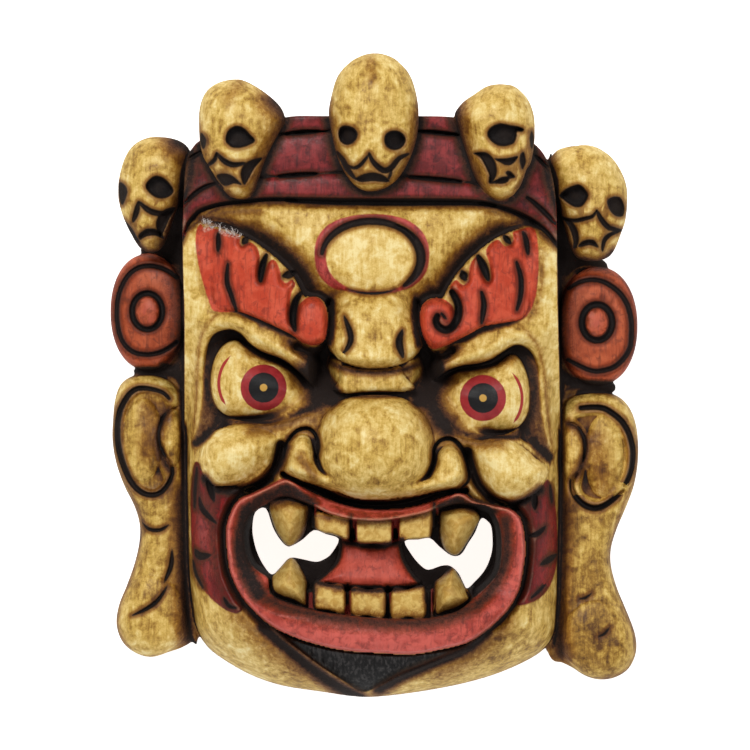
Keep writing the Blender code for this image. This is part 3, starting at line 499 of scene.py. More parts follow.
# red gum that shows between teeth, and the places on the left brow where the paint has torn off
GUMS = (
    [(352.5, 515), (357, 516), (357, 541), (353.5, 541)], [(391.5, 518), (399.5, 517), (399.5, 541), (391.5, 543)],
    [(308.6, 592), (313.0, 592), (313.4, 609), (308.4, 608)], [(344.8, 606), (350.5, 607), (350.5, 615), (344.8, 614)],
    [(314.2, 499), (317, 500), (316, 516), (314.4, 515)], [(436.2, 508), (438.6, 508), (437.6, 530), (436.2, 530)],
    [(349.2, 588), (351, 588), (350.6, 606), (349, 606)], [(389.4, 590), (391.2, 590), (390.8, 604), (389.2, 604)],
    [(430.6, 586), (433.4, 586), (433.6, 612), (431, 612)],
)
CHIPS = (
    [(202, 228), (204, 224), (209, 222.5), (213.5, 224.5), (213, 229), (208.5, 231), (204.5, 232)],
    [(219, 228.5), (226, 229), (233, 231.5), (241, 235.5), (239.5, 238.5), (231, 237), (224, 235.5), (219, 232.5)],
)


# ------------------------------------------------------------------ the front as heights
def pillow(H, line, base, rise, wide, u, v, k=1.5, power=2.0):
    """Raises the shape inside an outline: base is its edge height, rise what its middle stands
    above that, wide the squares over which it rounds off. Keeps whichever is higher."""
    d = boxed(lambda a, b: shape_distance(line, a, b), line, u, v, 4.0, 50.0)
    t = np.clip(-d / wide, 0.0, 1.0)
    top = base + rise * (1.0 - (1.0 - t) ** power) ** (1.0 / power)
    return np.where(d < 0.0, smax(H, top, k), H)


def replaced(H, line, base, rise, wide, u, v, power=2.0, edge=1.0):
    """As pillow, but takes the place of what was there."""
    d = boxed(lambda a, b: shape_distance(line, a, b), line, u, v, 4.0, 50.0)
    t = np.clip(-d / wide, 0.0, 1.0)
    top = base + rise * (1.0 - (1.0 - t) ** power) ** (1.0 / power)
    keep = ease(0.5 - d / (2.0 * edge))
    return H * (1.0 - keep) + top * keep


def dent(H, line, deep, wide, u, v, power=1.0):
    """Presses a line in by deep mm, over wide squares to each side."""
    d = boxed(lambda a, b: line_distance(line, a, b)[0], line, u, v, wide + 2.0, 50.0)
    return H - deep * ease(1.0 - d / wide) ** power


def crown_height(u, v):
    x = np.clip(np.abs(u - 370.0) / 187.5, 0.0, 1.0)
    around = 79.0 * (1.0 - x ** 4.2) ** (1.0 / 3.2)
    return around


def hollow_height(u, v):
    rho = oval(371.5, 402.0, 154.0, 250.0, 0, u, v, 4.0)
    return 57.0 * np.clip(1.0 - rho ** 3.0, 0.0, 1.0) ** (1.0 / 3.0)


def front_height(u, v):
    """Height of the face block's front, in mm, at places on the drawing."""
    edge = shape_distance(BLOCK_EDGE, u, v)
    rho = 1.0 - np.clip(-edge / 150.0, 0.0, 1.0)
    body = 80.0 * np.clip(1.0 - rho ** 3.0, 0.0, 1.0) ** (1.0 / 3.0)
    H = body.copy()

    # forehead: a shallow pad under the crown
    H = smax(H, 82.5 - 9.0 * oval(372, 262, 165, 85, 0, u, v) ** 2.2, 8.0)
    # third eye: a raised oval inside a rolled edge
    rim = oval(372.5, 255.5, 57.0, 42.0, 0, u, v, 2.3)
    H = H + 1.6 * ease((1.10 - rim) / 0.14) * ease((296.0 - v) / 24.0)
    H = H + 3.0 * np.sqrt(np.clip(1.0 - oval(371.0, 259.0, 46.0, 34.5, 0, u, v, 2.6) ** 2, 0.0, 1.0))

    # the fold under each brow, running down to the nose root
    for line in ([(206, 318), (232, 320), (262, 331), (290, 347), (312, 366)], [(541, 330), (514, 332), (486, 343), (458, 357), (436, 373)]):
        d, _ = line_distance(smooth(line), u, v)
        H = H + 5.0 * np.exp(-(d / 15.0) ** 2)

    # the deep hollows beside the nose ridge and the gaps between its root and the brows
    for line, deep, wide in (
        ([(329, 350), (324, 362), (323, 376), (326, 390), (333, 399)], 21.0, 16.0),
        ([(423, 352), (427, 364), (428, 377), (424, 390), (418, 399)], 21.0, 16.0),
        ([(330, 304), (332, 322), (329, 345)], 8.0, 6.5), ([(416, 304), (415.5, 322), (420, 345)], 7.0, 6.0),
        ([(297, 348), (312, 354), (324, 354)], 8.0, 9.0), ([(452, 352), (438, 357), (426, 355)], 8.0, 9.0),
    ):
        H = dent(H, smooth(line), deep, wide, u, v)
    rise = 20.0 * ease((v - 262.0) / 62.0)
    H = pillow(H, NOSE_ROOT, 75.0 + 8.0 * ease((v - 340.0) / 22.0), rise, 30.0, u, v, 4.0, 2.2)
    H = dent(H, smooth([(326, 363), (348, 369.5), (375, 371.5), (400, 369.5), (422, 364)]), 0.7, 4.0, u, v)
    H = pillow(H, RIDGE, 82.0, 6.0, 7.0, u, v, 3.0)
    H = dent(H, smooth([(336, 395.5), (375, 396), (412, 395)]), 2.5, 3.2, u, v)

    # sockets, eyeballs and the rolled lids above them
    for socket, ball, lid, side in (
        (SOCKET_L, BALL_L, [(196, 432), (198, 400), (199, 366), (204, 340), (214, 326), (229, 321.5), (243, 327), (256, 338),
                            (278, 348), (298, 361), (312, 377), (321, 393)], -1.0),
        (SOCKET_R, BALL_R, [(551, 444), (547, 412), (545, 380), (541, 354), (531, 341), (517, 337.5), (503, 343), (486, 352),
                            (464, 358), (445, 366), (432, 378), (424, 392)], 1.0),
    ):
        d, t = line_distance(smooth(lid), u, v)
        H = H + (5.5 - 2.0 * t) * np.exp(-(d / 7.5) ** 2)
        well = boxed(lambda a, b: shape_distance(socket, a, b), socket, u, v, 8.0, 50.0)
        inside = ease(0.5 - (well - 0.3) / 4.0)
        if side < 0:
            shelf = ease((v - 413.0) / 8.0) * ease((u - 222.0) / 14.0) * ease((308.0 - u) / 10.0)
        else:
            shelf = ease((v - 423.0) / 8.0) * ease((524.0 - u) / 12.0) * ease((u - 446.0) / 10.0)
        H = H + (np.minimum(H, 60.0 + 9.0 * shelf) - H) * inside
        H = replaced(H, ball, 61.0, 16.5, 34.0, u, v, 2.0, 1.0)
    # the inner part of each eyeball turns away towards the nose
    for cu, cv in ((320.0, 394.0), (430.0, 397.0)):
        H = H - 6.0 * np.exp(-(oval(cu, cv, 20.0, 26.0, 0, u, v)) ** 2)

    # nose: bulb and curled wings are one form that rises out of the face
    bulb = oval(375.0, 447.0, 58.5, 53.0, 0, u, v, 2.35)
    swell = oval(375.0, 440.0, 92.0, 52.0, 0, u, v, 2.2)
    H = smax(H, 86.5 - 11.0 * swell ** 2.4, 5.0)
    H = np.where(bulb < 1.0, smax(H, 82.0 + 29.5 * np.clip(1.0 - bulb ** 2.2, 0.0, 1.0) ** 0.55, 3.0 + 4.0 * ease((v - 455.0) / 30.0)), H)
    for line, base, rise, wide in ((CHEEK_L, 70.0, 18.5, 34.0), (CHEEK_R, 70.0, 18.5, 34.0)):
        H = pillow(H, line, base, rise, wide, u, v, 5.0)
    for line, deep, wide in (
        ([(281, 446), (278, 459), (273, 470.5), (262, 482), (248, 490)], 11.0, 8.5),
        ([(467, 452), (472, 470), (479, 486), (491, 498), (502, 504)], 12.0, 8.5),
        ([(283, 474), (292, 481), (306, 484), (320, 489.5), (345, 501.5), (372, 505), (400, 503.5), (422, 498.5), (440, 492),
          (456, 493), (466, 490)], 10.0, 4.8),
        ([(212, 489), (234, 490.5), (252, 488), (272, 480)], 6.0, 7.0),
        ([(548, 489), (533, 500), (516, 506), (502, 507)], 6.0, 6.5),
    ):
        H = dent(H, smooth(line), deep, wide, u, v)
    for line in (WING_L, WING_R):
        H = pillow(H, line, 80.0, 13.5, 13.0, u, v, 3.0)
    for flange in ([(293, 467), (303, 472), (318, 477), (334, 482), (350, 486)], [(457, 475), (446, 481), (432, 484), (416, 487), (400, 489)]):
        d, t = line_distance(smooth(flange), u, v)
        H = np.where(d < 9.0, smax(H, 92.5 + 3.0 * np.clip(t, 0.0, 1.0) - 13.0 * (d / 9.0) ** 2, 5.0), H)

    # beard patches
    H = pillow(H, BEARD_L, body - 1.0, 4.0, 10.0, u, v, 1.0)
    H = pillow(H, BEARD_R, body - 1.0, 4.0, 10.0, u, v, 1.0)

    # the mouth's inside: walls, gums, tongue and teeth
    lip = shape_distance(LIP_OUT, u, v)
    inner = shape_distance(LIP_IN, u, v)
    away = np.abs(u - 375.0) / 150.0
    crest = 92.5 - 15.0 * np.clip(away, 0.0, 1.05) ** 2.2 - 5.0 * ease((v - 560.0) / 95.0)
    M = crest - 12.0 - 30.0 * ease(-inner / 9.0)
    gum = ease((531.0 - v) / 6.0) * ease((u - 309.0) / 4.0) * ease((438.0 - u) / 4.0)
    M = M + (np.maximum(M, 77.0) - M) * gum
    gum = ease((v - 589.0 + np.abs(u - 375.0) * 0.06) / 6.0) * ease((u - 266.0) / 4.0) * ease((476.0 - u) / 4.0)
    M = M + (np.maximum(M, 75.0) - M) * gum
    M = replaced(M, TONGUE, 60.0, 9.0, 14.0, u, v, 2.0, 1.2)
    M = M + np.where(shape_distance(TONGUE, u, v) < 0, 6.0 * ease((v - 545.0) / 40.0), 0.0)
    M = dent(M, smooth([(317, 583.5), (345, 588.5), (375, 591.5), (405, 590.5), (424, 586)]), 5.0, 3.5, u, v)
    for line in UPPER_TEETH:
        M = replaced(M, line, 79.0, 7.0, 4.0, u, v, 2.4, 0.9)
    for line in LOWER_TEETH:
        M = replaced(M, line, 76.5, 6.0, 4.0, u, v, 2.4, 0.9)
    for line in UPPER_FANGS:
        M = replaced(M, line, 66.0, 18.0, 19.0, u, v, 1.7, 0.9)
    for line in LOWER_FANGS:
        M = replaced(M, line, 64.0, 18.5, 17.0, u, v, 1.7, 0.9)
    for line, wide, deep, ink, taper in TOOTH_GAPS:
        M = M - groove(line, wide, deep, taper, u, v)

    # lips: a narrow bright edge, the rest sloping in to the teeth; under the nose it slopes the other way
    H = H - 6.5 * ease(1.0 - np.clip(lip, 0.0, 99.0) / 11.0) * (lip > 0) * ease((v - 482.0) / 14.0)
    across = np.clip(-lip / np.maximum(-lip + np.maximum(inner, 0.0), 1.0), 0.0, 1.0)
    low = ease((v - 592.0) / 26.0)
    middle = ease((536.0 - v) / 8.0) * ease((u - 288.0) / 22.0) * ease((462.0 - u) / 22.0)
    dish = crest - (9.5 - 6.5 * low) * across ** 1.15 + 3.4 * low * np.sin(np.pi * np.clip(across, 0.0, 1.0)) - 3.0 * (1.0 - ease(-lip / 3.5))
    under = crest - 7.5 * (1.0 - np.clip(across * 1.12, 0.0, 1.0)) ** 1.1
    dish = dish * (1.0 - middle) + under * middle
    over = ease(-lip / 2.5)
    H = H * (1.0 - over) + dish * over
    cave = ease(0.5 - inner / 1.6)
    H = H * (1.0 - cave) + M * cave

    # goatee: a wedge with a thin raised rim
    tuft = boxed(lambda a, b: shape_distance(GOATEE, a, b), GOATEE, u, v, 16.0, 50.0)
    keep = ease(0.5 - tuft / 3.0) * (lip > 0.5)
    H = H * (1.0 - keep) + (body - 3.0) * keep
    rim = smooth([(272, 630), (295, 647.5), (320, 666), (346, 682.5), (362, 692), (378, 686.5), (397, 676.5), (423, 666), (450, 655), (470, 648)])
    d, _ = line_distance(rim, u, v)
    H = H + 2.4 * np.exp(-(d / 2.2) ** 2) * (lip > 1.0)
    H = dent(H, smooth([(264, 634), (290, 652), (316, 671), (342, 688), (362, 697)]), 2.6, 7.0, u, v)
    H = dent(H, smooth([(498, 636), (473, 652), (447, 661), (421, 671), (397, 682)]), 2.6, 7.0, u, v)

    # brows: thick slabs whose upper edges stand over a deep valley; the paint's lobes stand higher still
    for line, upper in (
        (BROW_L, [(197, 222), (210, 221.5), (224, 224.5), (243, 231.5), (259, 240.5), (275, 252), (289, 264.5), (299, 277),
                  (307, 291), (318, 294), (327, 300), (331, 312)]),
        (BROW_R, [(418, 310), (422, 300), (432, 294.5), (440, 294), (446, 284), (455, 271), (467, 257.5), (480, 246),
                  (494, 236), (508, 229), (521, 225), (533, 224)]),
    ):
        d = boxed(lambda a, b: line_distance(smooth(upper), a, b)[0], upper, u, v, 34.0, 99.0)
        t = np.clip(1.0 - d / 30.0, 0.0, 1.0)
        H = H - 8.5 * t ** 1.7
    grow = ease((u - 215.0) / 95.0) * (u < 372) + ease((525.0 - u) / 90.0) * (u >= 372)
    for slab, flame in ((BROW_L, FLAME_L), (BROW_R, FLAME_R)):
        H = pillow(H, slab, body + 1.5, 5.5 + 2.0 * grow, 4.0, u, v, 0.6, 3.0)
        H = pillow(H, flame, body + 4.0, 6.5 + 2.0 * grow, 8.0, u, v, 0.6, 2.2)
    H = H + 2.5 * np.sqrt(np.clip(1.0 - oval(312.5, 321.0, 15.5, 24.0, 0, u, v) ** 2, 0.0, 1.0))
    H = H + 2.5 * np.sqrt(np.clip(1.0 - oval(436.0, 322.0, 16.0, 24.0, 0, u, v) ** 2, 0.0, 1.0))

    # crown band: three strips over the forehead
    crown = crown_height(u, v)
    low_edge = band_v(BAND_LOW, u)
    for top, bottom, rise in ((BAND_TOP, BAND_HIGH, -0.5), (BAND_HIGH, BAND_MID, 1.0), (BAND_MID, BAND_LOW, 2.2)):
        a, b = band_v(top, u), band_v(bottom, u)
        t = np.clip((v - a) / (b - a), 0.0, 1.0)
        across = np.clip(1.0 - np.abs(2.0 * t - 1.0) ** 3.0, 0.0, 1.0) ** 0.6
        on = ease((v - a) / 2.0 + 0.5) * ease((b - v) / 2.0 + 0.5)
        H = H * (1.0 - on) + np.maximum(H, crown + rise + 2.4 * across - 2.0) * on
    # the forehead is hollowed just under the band
    H = H - 3.0 * np.exp(-((v - low_edge - 3.0) / 4.5) ** 2) * (v > low_edge - 1.0)

    # carved lines
    for line, wide, deep, ink, taper in FACE_LINES:
        if line[:, 0].max() < 182 or line[:, 0].min() > 562:
            continue
        H = H - groove(line, wide, deep, taper, u, v)

    # the wall stays whole over the hollow
    H = smax(H, hollow_height(u, v) + 5.0, 2.0)

    # tool marks and the faint unevenness of hand work
    H = H + 0.30 * noise(u, v, 17.0, 3) + 0.20 * noise(u, v, 9.0, 5) + 0.07 * noise(u * 1.0, v * 0.35, 3.2, 9)
    return H, edge


def groove(line, wide, deep, taper, u, v, sharp=1.3):
    def work(a, b):
        d, t = line_distance(line, a, b)
        w = wide * ((1.0 - taper) + taper * np.sin(np.pi * np.clip(t, 0.0, 1.0)) ** 0.7)
        return ease((w * sharp - d) / (w * 0.9 + 0.3)) * np.clip(w / wide, 0.0, 1.0)
    return deep * boxed(work, line, u, v, wide + 3.0, 0.0)


def side_height(line, rim_z, top_z, wide, u, v):
    """Height of an ear's front."""
    d = shape_distance(line, u, v)
    t = np.clip(-d / wide, 0.0, 1.0)
    return rim_z + (top_z - rim_z) * np.sqrt(1.0 - (1.0 - t) ** 2), d


def ear_height(line, side, u, v):
    H, d = side_height(line, 17.0, 30.0, 20.0, u, v)
    # the bowl inside the rim of the upper ear
    if side < 0:
        bowl = smooth([(121, 430), (124, 404), (137, 391), (154, 388), (167, 397), (171, 412), (160, 430), (158, 455),
                       (168, 480), (157, 494), (143, 492), (128, 478)], True, 4)
        tragus = (171.0, 438.0, 11.0, 30.0)
        lobe = (151.0, 618.0, 36.0, 42.0)
    else:
        bowl = smooth([(572, 418), (590, 411), (606, 413), (620, 424), (629, 444), (629, 468), (621, 486), (605, 502),
                       (588, 501), (577, 488), (584, 462), (585, 440)], True, 4)
        tragus = (572.0, 452.0, 12.0, 28.0)
        lobe = (598.0, 640.0, 37.0, 40.0)
    b = shape_distance(bowl, u, v)
    H = H - 3.5 * ease(-b / 6.0) + 5.0 * np.sqrt(np.clip(1.0 - oval(143.0 if side < 0 else 604.0, 440.0 if side < 0 else 456.0, 20.0, 42.0, 0, u, v) ** 2, 0, 1))
    H = H + 4.0 * np.sqrt(np.clip(1.0 - oval(*tragus, 0, u, v) ** 2, 0.0, 1.0))
    H = H + 4.0 * np.sqrt(np.clip(1.0 - oval(*lobe, 0, u, v) ** 2, 0.0, 1.0))
    # sinks where it meets the face
    near = (u - 196.0) if side < 0 else (552.0 - u)
    H = H - 8.0 * ease(1.0 + near / 16.0)
    for line2, wide, deep, ink, taper in FACE_LINES:
        if (side < 0 and line2[:, 0].max() < 182) or (side > 0 and line2[:, 0].min() > 562):
            H = H - groove(line2, wide, deep, taper, u, v)
    H = H + 0.30 * noise(u, v, 15.0, 13) + 0.18 * noise(u, v, 8.0, 15) + 0.07 * noise(u, v * 0.35, 3.2, 19)
    return H, d


def disc_height(cu, cv, ru, rv, side, u, v):
    q = oval(cu, cv, ru, rv, 0, u, v, 2.15)
    d = (q - 1.0) * min(ru, rv)
    t = np.clip(-d / 9.0, 0.0, 1.0)
    lean = (u - cu) / ru * side
    H = 32.0 - 7.0 * (1.0 - np.sqrt(1.0 - (1.0 - t) ** 2)) - 3.0 * lean - 2.5 * q ** 2
    H = H + 1.6 * np.clip(1.0 - oval(cu - 0.5, cv - 1.0, 13.0, 16.0, 0, u, v) ** 2, 0.0, 1.0)
    for line2, wide, deep, ink, taper in FACE_LINES:
        if (side < 0 and line2[:, 0].max() < 182) or (side > 0 and line2[:, 0].min() > 562):
            H = H - groove(line2, wide, deep, taper, u, v)
    H = H + 0.25 * noise(u, v, 14.0, 23) + 0.12 * noise(u, v * 0.5, 5.0, 25)
    return H, d


def skull_heights(number, u, v):
    """Front and back of a skull, and the distance to its outline."""
    line, cz, rz, wide = SKULLS[number]
    d = shape_distance(line, u, v)
    t = np.clip(-d / wide, 0.0, 1.0)
    bulge = np.clip(1.0 - (1.0 - t) ** 2.3, 0.0, 1.0) ** (1.0 / 2.1)
    cu, cv = line[:, 0].mean(), line[:, 1].mean()
    rv = 0.5 * (line[:, 1].max() - line[:, 1].min())
    down = (v - cv) / rv
    front = cz + rz * bulge * (1.0 - 0.16 * ease((down - 0.1) / 0.9))
    back = cz - rz * bulge * 0.9
    for owner, deep, pit in SKULL_PITS:
        if owner == number:
            pit = smooth(pit, True, 4)
            p = boxed(lambda a, b: shape_distance(pit, a, b), pit, u, v, 6.0, 50.0)
            front = front - deep * ease((0.8 - p) / 3.2)
    for owner, wide2, deep, cut in SKULL_LINES:
        if owner == number:
            front = front - groove(smooth(cut, False, 5), wide2, deep, 0.6, u, v)
    front = front + 0.30 * noise(u, v, 13.0, 31 + number) + 0.18 * noise(u, v, 6.0, 41 + number)
    return front, back, d


# ------------------------------------------------------------------ the solid carving
def relief_field(H, d, w, low=None, soft=2.5):
    """Signed distance (squares) to a block with this front: d is its outline, H its height in mm."""
    front = H * 2.0
    gu, gv = np.gradient(front, STEP)
    slope = 1.0 / np.sqrt(1.0 + np.clip(gu * gu + gv * gv, 0.0, 36.0))
    F = (w[None, None, :] - front[:, :, None]) * slope[:, :, None]
    side = d[:, :, None]
    F = smax(F, np.broadcast_to(side, F.shape), soft)
    if low is not None:
        F = smax(F, low - w[None, None, :], 1.5)
    return F


def carved():
    """The whole mask as vertices (u, v, mm) and quads."""
    u = np.arange(104.0, 648.0, STEP)
    v = np.arange(44.0, 706.0, STEP)
    w = np.arange(LOW_Z * 2.0, HIGH_Z * 2.0, STEP)
    U, V = np.meshgrid(u, v, indexing="ij")
    FAR = 12.0
    D = np.full((len(u), len(v), len(w)), FAR, np.float32)

    def window(lo_u, hi_u, lo_v, hi_v, lo_z=LOW_Z, hi_z=HIGH_Z):
        i = slice(*np.clip(np.searchsorted(u, (lo_u, hi_u)), 0, len(u)))
        j = slice(*np.clip(np.searchsorted(v, (lo_v, hi_v)), 0, len(v)))
        k = slice(*np.clip(np.searchsorted(w, (lo_z * 2.0, hi_z * 2.0)), 0, len(w)))
        return i, j, k

    def join(box, F, k):
        i, j, l = box
        D[i, j, l] = smin(D[i, j, l], F.astype(np.float32), k)

    # face block
    box = window(176.0, 568.0, 108.0, 704.0)
    i, j, l = box
    H, edge = front_height(U[i, j], V[i, j])
    join(box, relief_field(H, edge, w[l], soft=3.0), 0.01)

    # ears and discs
    for line, side, lo, hi in ((EAR_L, -1, 106.0, 200.0), (EAR_R, 1, 546.0, 646.0)):
        box = window(lo, hi, 366.0, 688.0, LOW_Z, 46.0)
        i, j, l = box
        H, d = ear_height(line, side, U[i, j], V[i, j])
        join(box, relief_field(H, d, w[l], low=4.0, soft=5.0), 3.0)
        # the ear's root along the face, down to the rim
        root_u = 184.0 if side < 0 else 560.0
        rho = oval(root_u, 520.0 if side < 0 else 540.0, 20.0, 122.0, 0, U[i, j], V[i, j], 3.0)
        join(box, relief_field(26.0 - 8.0 * np.clip(rho, 0, 1.3) ** 2, (rho - 1.0) * 20.0, w[l], soft=4.0), 5.0)
    for (cu, cv, ru, rv), side in ((DISC_L, -1), (DISC_R, 1)):
        box = window(cu - ru - 8, cu + ru + 8, cv - rv - 8, cv + rv + 8, LOW_Z, 46.0)
        i, j, l = box
        H, d = disc_height(cu, cv, ru, rv, side, U[i, j], V[i, j])
        join(box, relief_field(H, d, w[l], low=2.0, soft=2.5), 1.0)
        # a stub ties the disc to the face
        box = window(170.0, 200.0, cv - 50, cv + 50, LOW_Z, 40.0) if side < 0 else window(546.0, 578.0, cv - 50, cv + 50, LOW_Z, 40.0)
        i, j, l = box
        rho = oval(186.0 if side < 0 else 559.0, cv, 22.0, 44.0, 0, U[i, j], V[i, j], 2.6)
        join(box, relief_field(20.0 + 0.0 * rho, (rho - 1.0) * 20.0, w[l], soft=4.0), 3.0)

    for line in (ROOT_L, ROOT_R):
        box = window(line[:, 0].min() - 10, line[:, 0].max() + 10, line[:, 1].min() - 10, line[:, 1].max() + 10, LOW_Z, 34.0)
        i, j, l = box
        d = shape_distance(line, U[i, j], V[i, j])
        join(box, relief_field(16.0 + 6.0 * np.sqrt(np.clip(-d / 22.0, 0.0, 1.0)), d, w[l], low=5.0, soft=4.0), 2.5)

    # skulls: rounded pads with the photograph's outline, and a neck behind each
    for number in range(len(SKULLS)):
        line, cz, rz, wide = SKULLS[number]
        box = window(line[:, 0].min() - 12, line[:, 0].max() + 12, line[:, 1].min() - 12, line[:, 1].max() + 12,
                     max(LOW_Z, cz - rz - 8), min(HIGH_Z, cz + rz + 6))
        i, j, l = box
        Us, Vs = U[i, j], V[i, j]
        front, back, d = skull_heights(number, Us, Vs)
        ahead = front * 2.0
        gu, gv = np.gradient(ahead, STEP)
        slope = 1.0 / np.sqrt(1.0 + np.clip(gu * gu + gv * gv, 0.0, 36.0))
        F = (w[l][None, None, :] - ahead[:, :, None]) * slope[:, :, None]
        behind = back * 2.0
        gu, gv = np.gradient(behind, STEP)
        slope = 1.0 / np.sqrt(1.0 + np.clip(gu * gu + gv * gv, 0.0, 36.0))
        F = np.maximum(F, (behind[:, :, None] - w[l][None, None, :]) * slope[:, :, None])
        F = smax(F, np.broadcast_to(d[:, :, None], F.shape), 1.5)
        join(box, F, 0.6)
        cu, cv = line[:, 0].mean(), line[:, 1].mean()
        ru = 0.5 * (line[:, 0].max() - line[:, 0].min())
        nu, nv = cu + (371.0 - cu) * 0.12, cv + 18.0
        box = window(nu - ru, nu + ru, nv - ru * 1.4, nv + ru * 1.4, LOW_Z, cz + 4)
        i, j, l = box
        rho = oval(nu, nv, ru * 0.60, ru * 0.90, 0, U[i, j], V[i, j])
        base = 8.0 if number > 2 else cz * 0.28
        join(box, relief_field(cz - 6.0 - 14.0 * rho, (rho - 1.0) * ru * 0.6, w[l], low=base, soft=6.0), 4.0)

    # hollow back
    rho = oval(371.5, 402.0, 154.0, 250.0, 0, U, V, 4.0)
    back = hollow_height(U, V)
    back = back + np.where(rho < 1, 0.7 * noise(U, V, 15.0, 51) + 0.5 * noise(U, V * 0.4, 7.0, 52), 0.0)
    gu, gv = np.gradient(back * 2.0, STEP)
    slope = 1.0 / np.sqrt(1.0 + np.clip(gu * gu + gv * gv, 0.0, 36.0))
    for a in range(0, len(u), 60):
        part = slice(a, a + 60)
        inside = (back[part] * 2.0)[:, :, None] - w[None, None, :]
        inside = np.minimum(inside * slope[part][:, :, None], ((1.0 - rho[part]) * 154.0)[:, :, None])
        D[part] = np.maximum(D[part], inside.astype(np.float32))
    # mouth holes
    for line in (HOLE_L, HOLE_R):
        i, j, _ = window(line[:, 0].min() - 10, line[:, 0].max() + 10, line[:, 1].min() - 10, line[:, 1].max() + 10)
        d = shape_distance(line, U[i, j], V[i, j])
        lean = (w * 0.5 - 60.0)[None, None, :] * 0.03
        D[i, j, :] = smax(D[i, j, :], (-(d[:, :, None]) + lean).astype(np.float32), 1.2)
    # flat rim
    D = np.maximum(D, (-w).astype(np.float32)[None, None, :])
    D[0], D[-1], D[:, 0], D[:, -1], D[:, :, 0], D[:, :, -1] = (FAR,) * 6
    np.clip(D, -FAR, FAR, out=D)
    grid = vdb.FloatGrid(FAR)
    grid.copyFromArray(D)
    points, quads = grid.convertToQuads(0.0)
    points = np.asarray(points, float) * STEP + np.array([u[0], v[0], w[0]])
    points[:, 2] *= 0.5
    # how buried each place is, at two scales, for the dark wash and painted shade in the recesses
    thin = D[::2, ::2, ::2]
    filled = np.clip(0.5 - thin / (2.0 * STEP), 0.0, 1.0)
    origin = np.array([u[0], v[0], w[0]])
    return points, np.asarray(quads, np.int64), filled, origin


def blurred(a, radius):
    """Box blur along each axis, twice."""
    for _ in range(2):
        for axis in range(3):
            pad = [(0, 0)] * 3
            pad[axis] = (radius + 1, radius)
            c = np.cumsum(np.pad(a, pad, mode="edge"), axis=axis, dtype=np.float64)
            n = a.shape[axis]
            hi = np.take(c, np.arange(2 * radius + 1, 2 * radius + 1 + n), axis=axis)
            lo = np.take(c, np.arange(0, n), axis=axis)
            a = ((hi - lo) / (2 * radius + 1)).astype(np.float32)
    return a


def sampled(a, origin, cell, p):
    """Trilinear sample of a grid at places (u, v, w)."""
    q = (p - origin) / cell
    q = np.clip(q, 0.0, np.array(a.shape) - 1.001)
    i = q.astype(int)
    f = q - i
    out = 0.0
    for dx in (0, 1):
        for dy in (0, 1):
            for dz in (0, 1):
                wgt = (f[:, 0] if dx else 1 - f[:, 0]) * (f[:, 1] if dy else 1 - f[:, 1]) * (f[:, 2] if dz else 1 - f[:, 2])
                out = out + wgt * a[i[:, 0] + dx, i[:, 1] + dy, i[:, 2] + dz]
    return out


def to_frame(p):
    """Places (u, v, mm) to metres in the shared frame."""
    s = DRAW * (EYE - p[:, 2]) / (EYE - DRAW_HEIGHT)
    return np.column_stack([(p[:, 0] - MID_U) * s + OFF_X, (MID_V - p[:, 1]) * s + OFF_Y, p[:, 2]]) * 0.001


def from_frame(q):
    q = q * 1000.0
    s = DRAW * (EYE - q[:, 2]) / (EYE - DRAW_HEIGHT)
    return np.column_stack([(q[:, 0] - OFF_X) / s + MID_U, MID_V - (q[:, 1] - OFF_Y) / s, q[:, 2]])


points, quads, filled, origin = carved()
place = to_frame(points)
tri_volume = 0.0
corner = place[quads[:, 0]]
tri_volume += np.einsum("ij,ij->i", corner, np.cross(place[quads[:, 1]], place[quads[:, 2]])).sum()
tri_volume += np.einsum("ij,ij->i", corner, np.cross(place[quads[:, 2]], place[quads[:, 3]])).sum()
if tri_volume < 0:
    quads = quads[:, ::-1]

mesh = bpy.data.meshes.new("mask_carving")
mesh.vertices.add(len(place))
mesh.vertices.foreach_set("co", place.astype(np.float32).ravel())
mesh.loops.add(quads.size)
mesh.loops.foreach_set("vertex_index", quads.astype(np.int32).ravel())
mesh.polygons.add(len(quads))
mesh.polygons.foreach_set("loop_start", np.arange(0, quads.size, 4, dtype=np.int32))
mesh.polygons.foreach_set("loop_total", np.full(len(quads), 4, np.int32))
mesh.update(calc_edges=True)
mesh.validate()
mask = bpy.data.objects.new("mask_carving", mesh)
bpy.context.scene.collection.objects.link(mask)

# fewer triangles, kept where the carving is fine
thin = mask.modifiers.new("fewer", "DECIMATE")
thin.ratio = min(1.0, MOST_TRIANGLES / (2.0 * len(quads)))
thin.use_collapse_triangulate = True
bpy.context.view_layer.update()
graph = bpy.context.evaluated_depsgraph_get()
fine = bpy.data.meshes.new_from_object(mask.evaluated_get(graph))
mask.modifiers.clear()
mask.data = fine
bpy.data.meshes.remove(mesh)
fine.name = "mask_carving"
print("carving:", len(quads), "quads to", len(fine.polygons), "triangles")

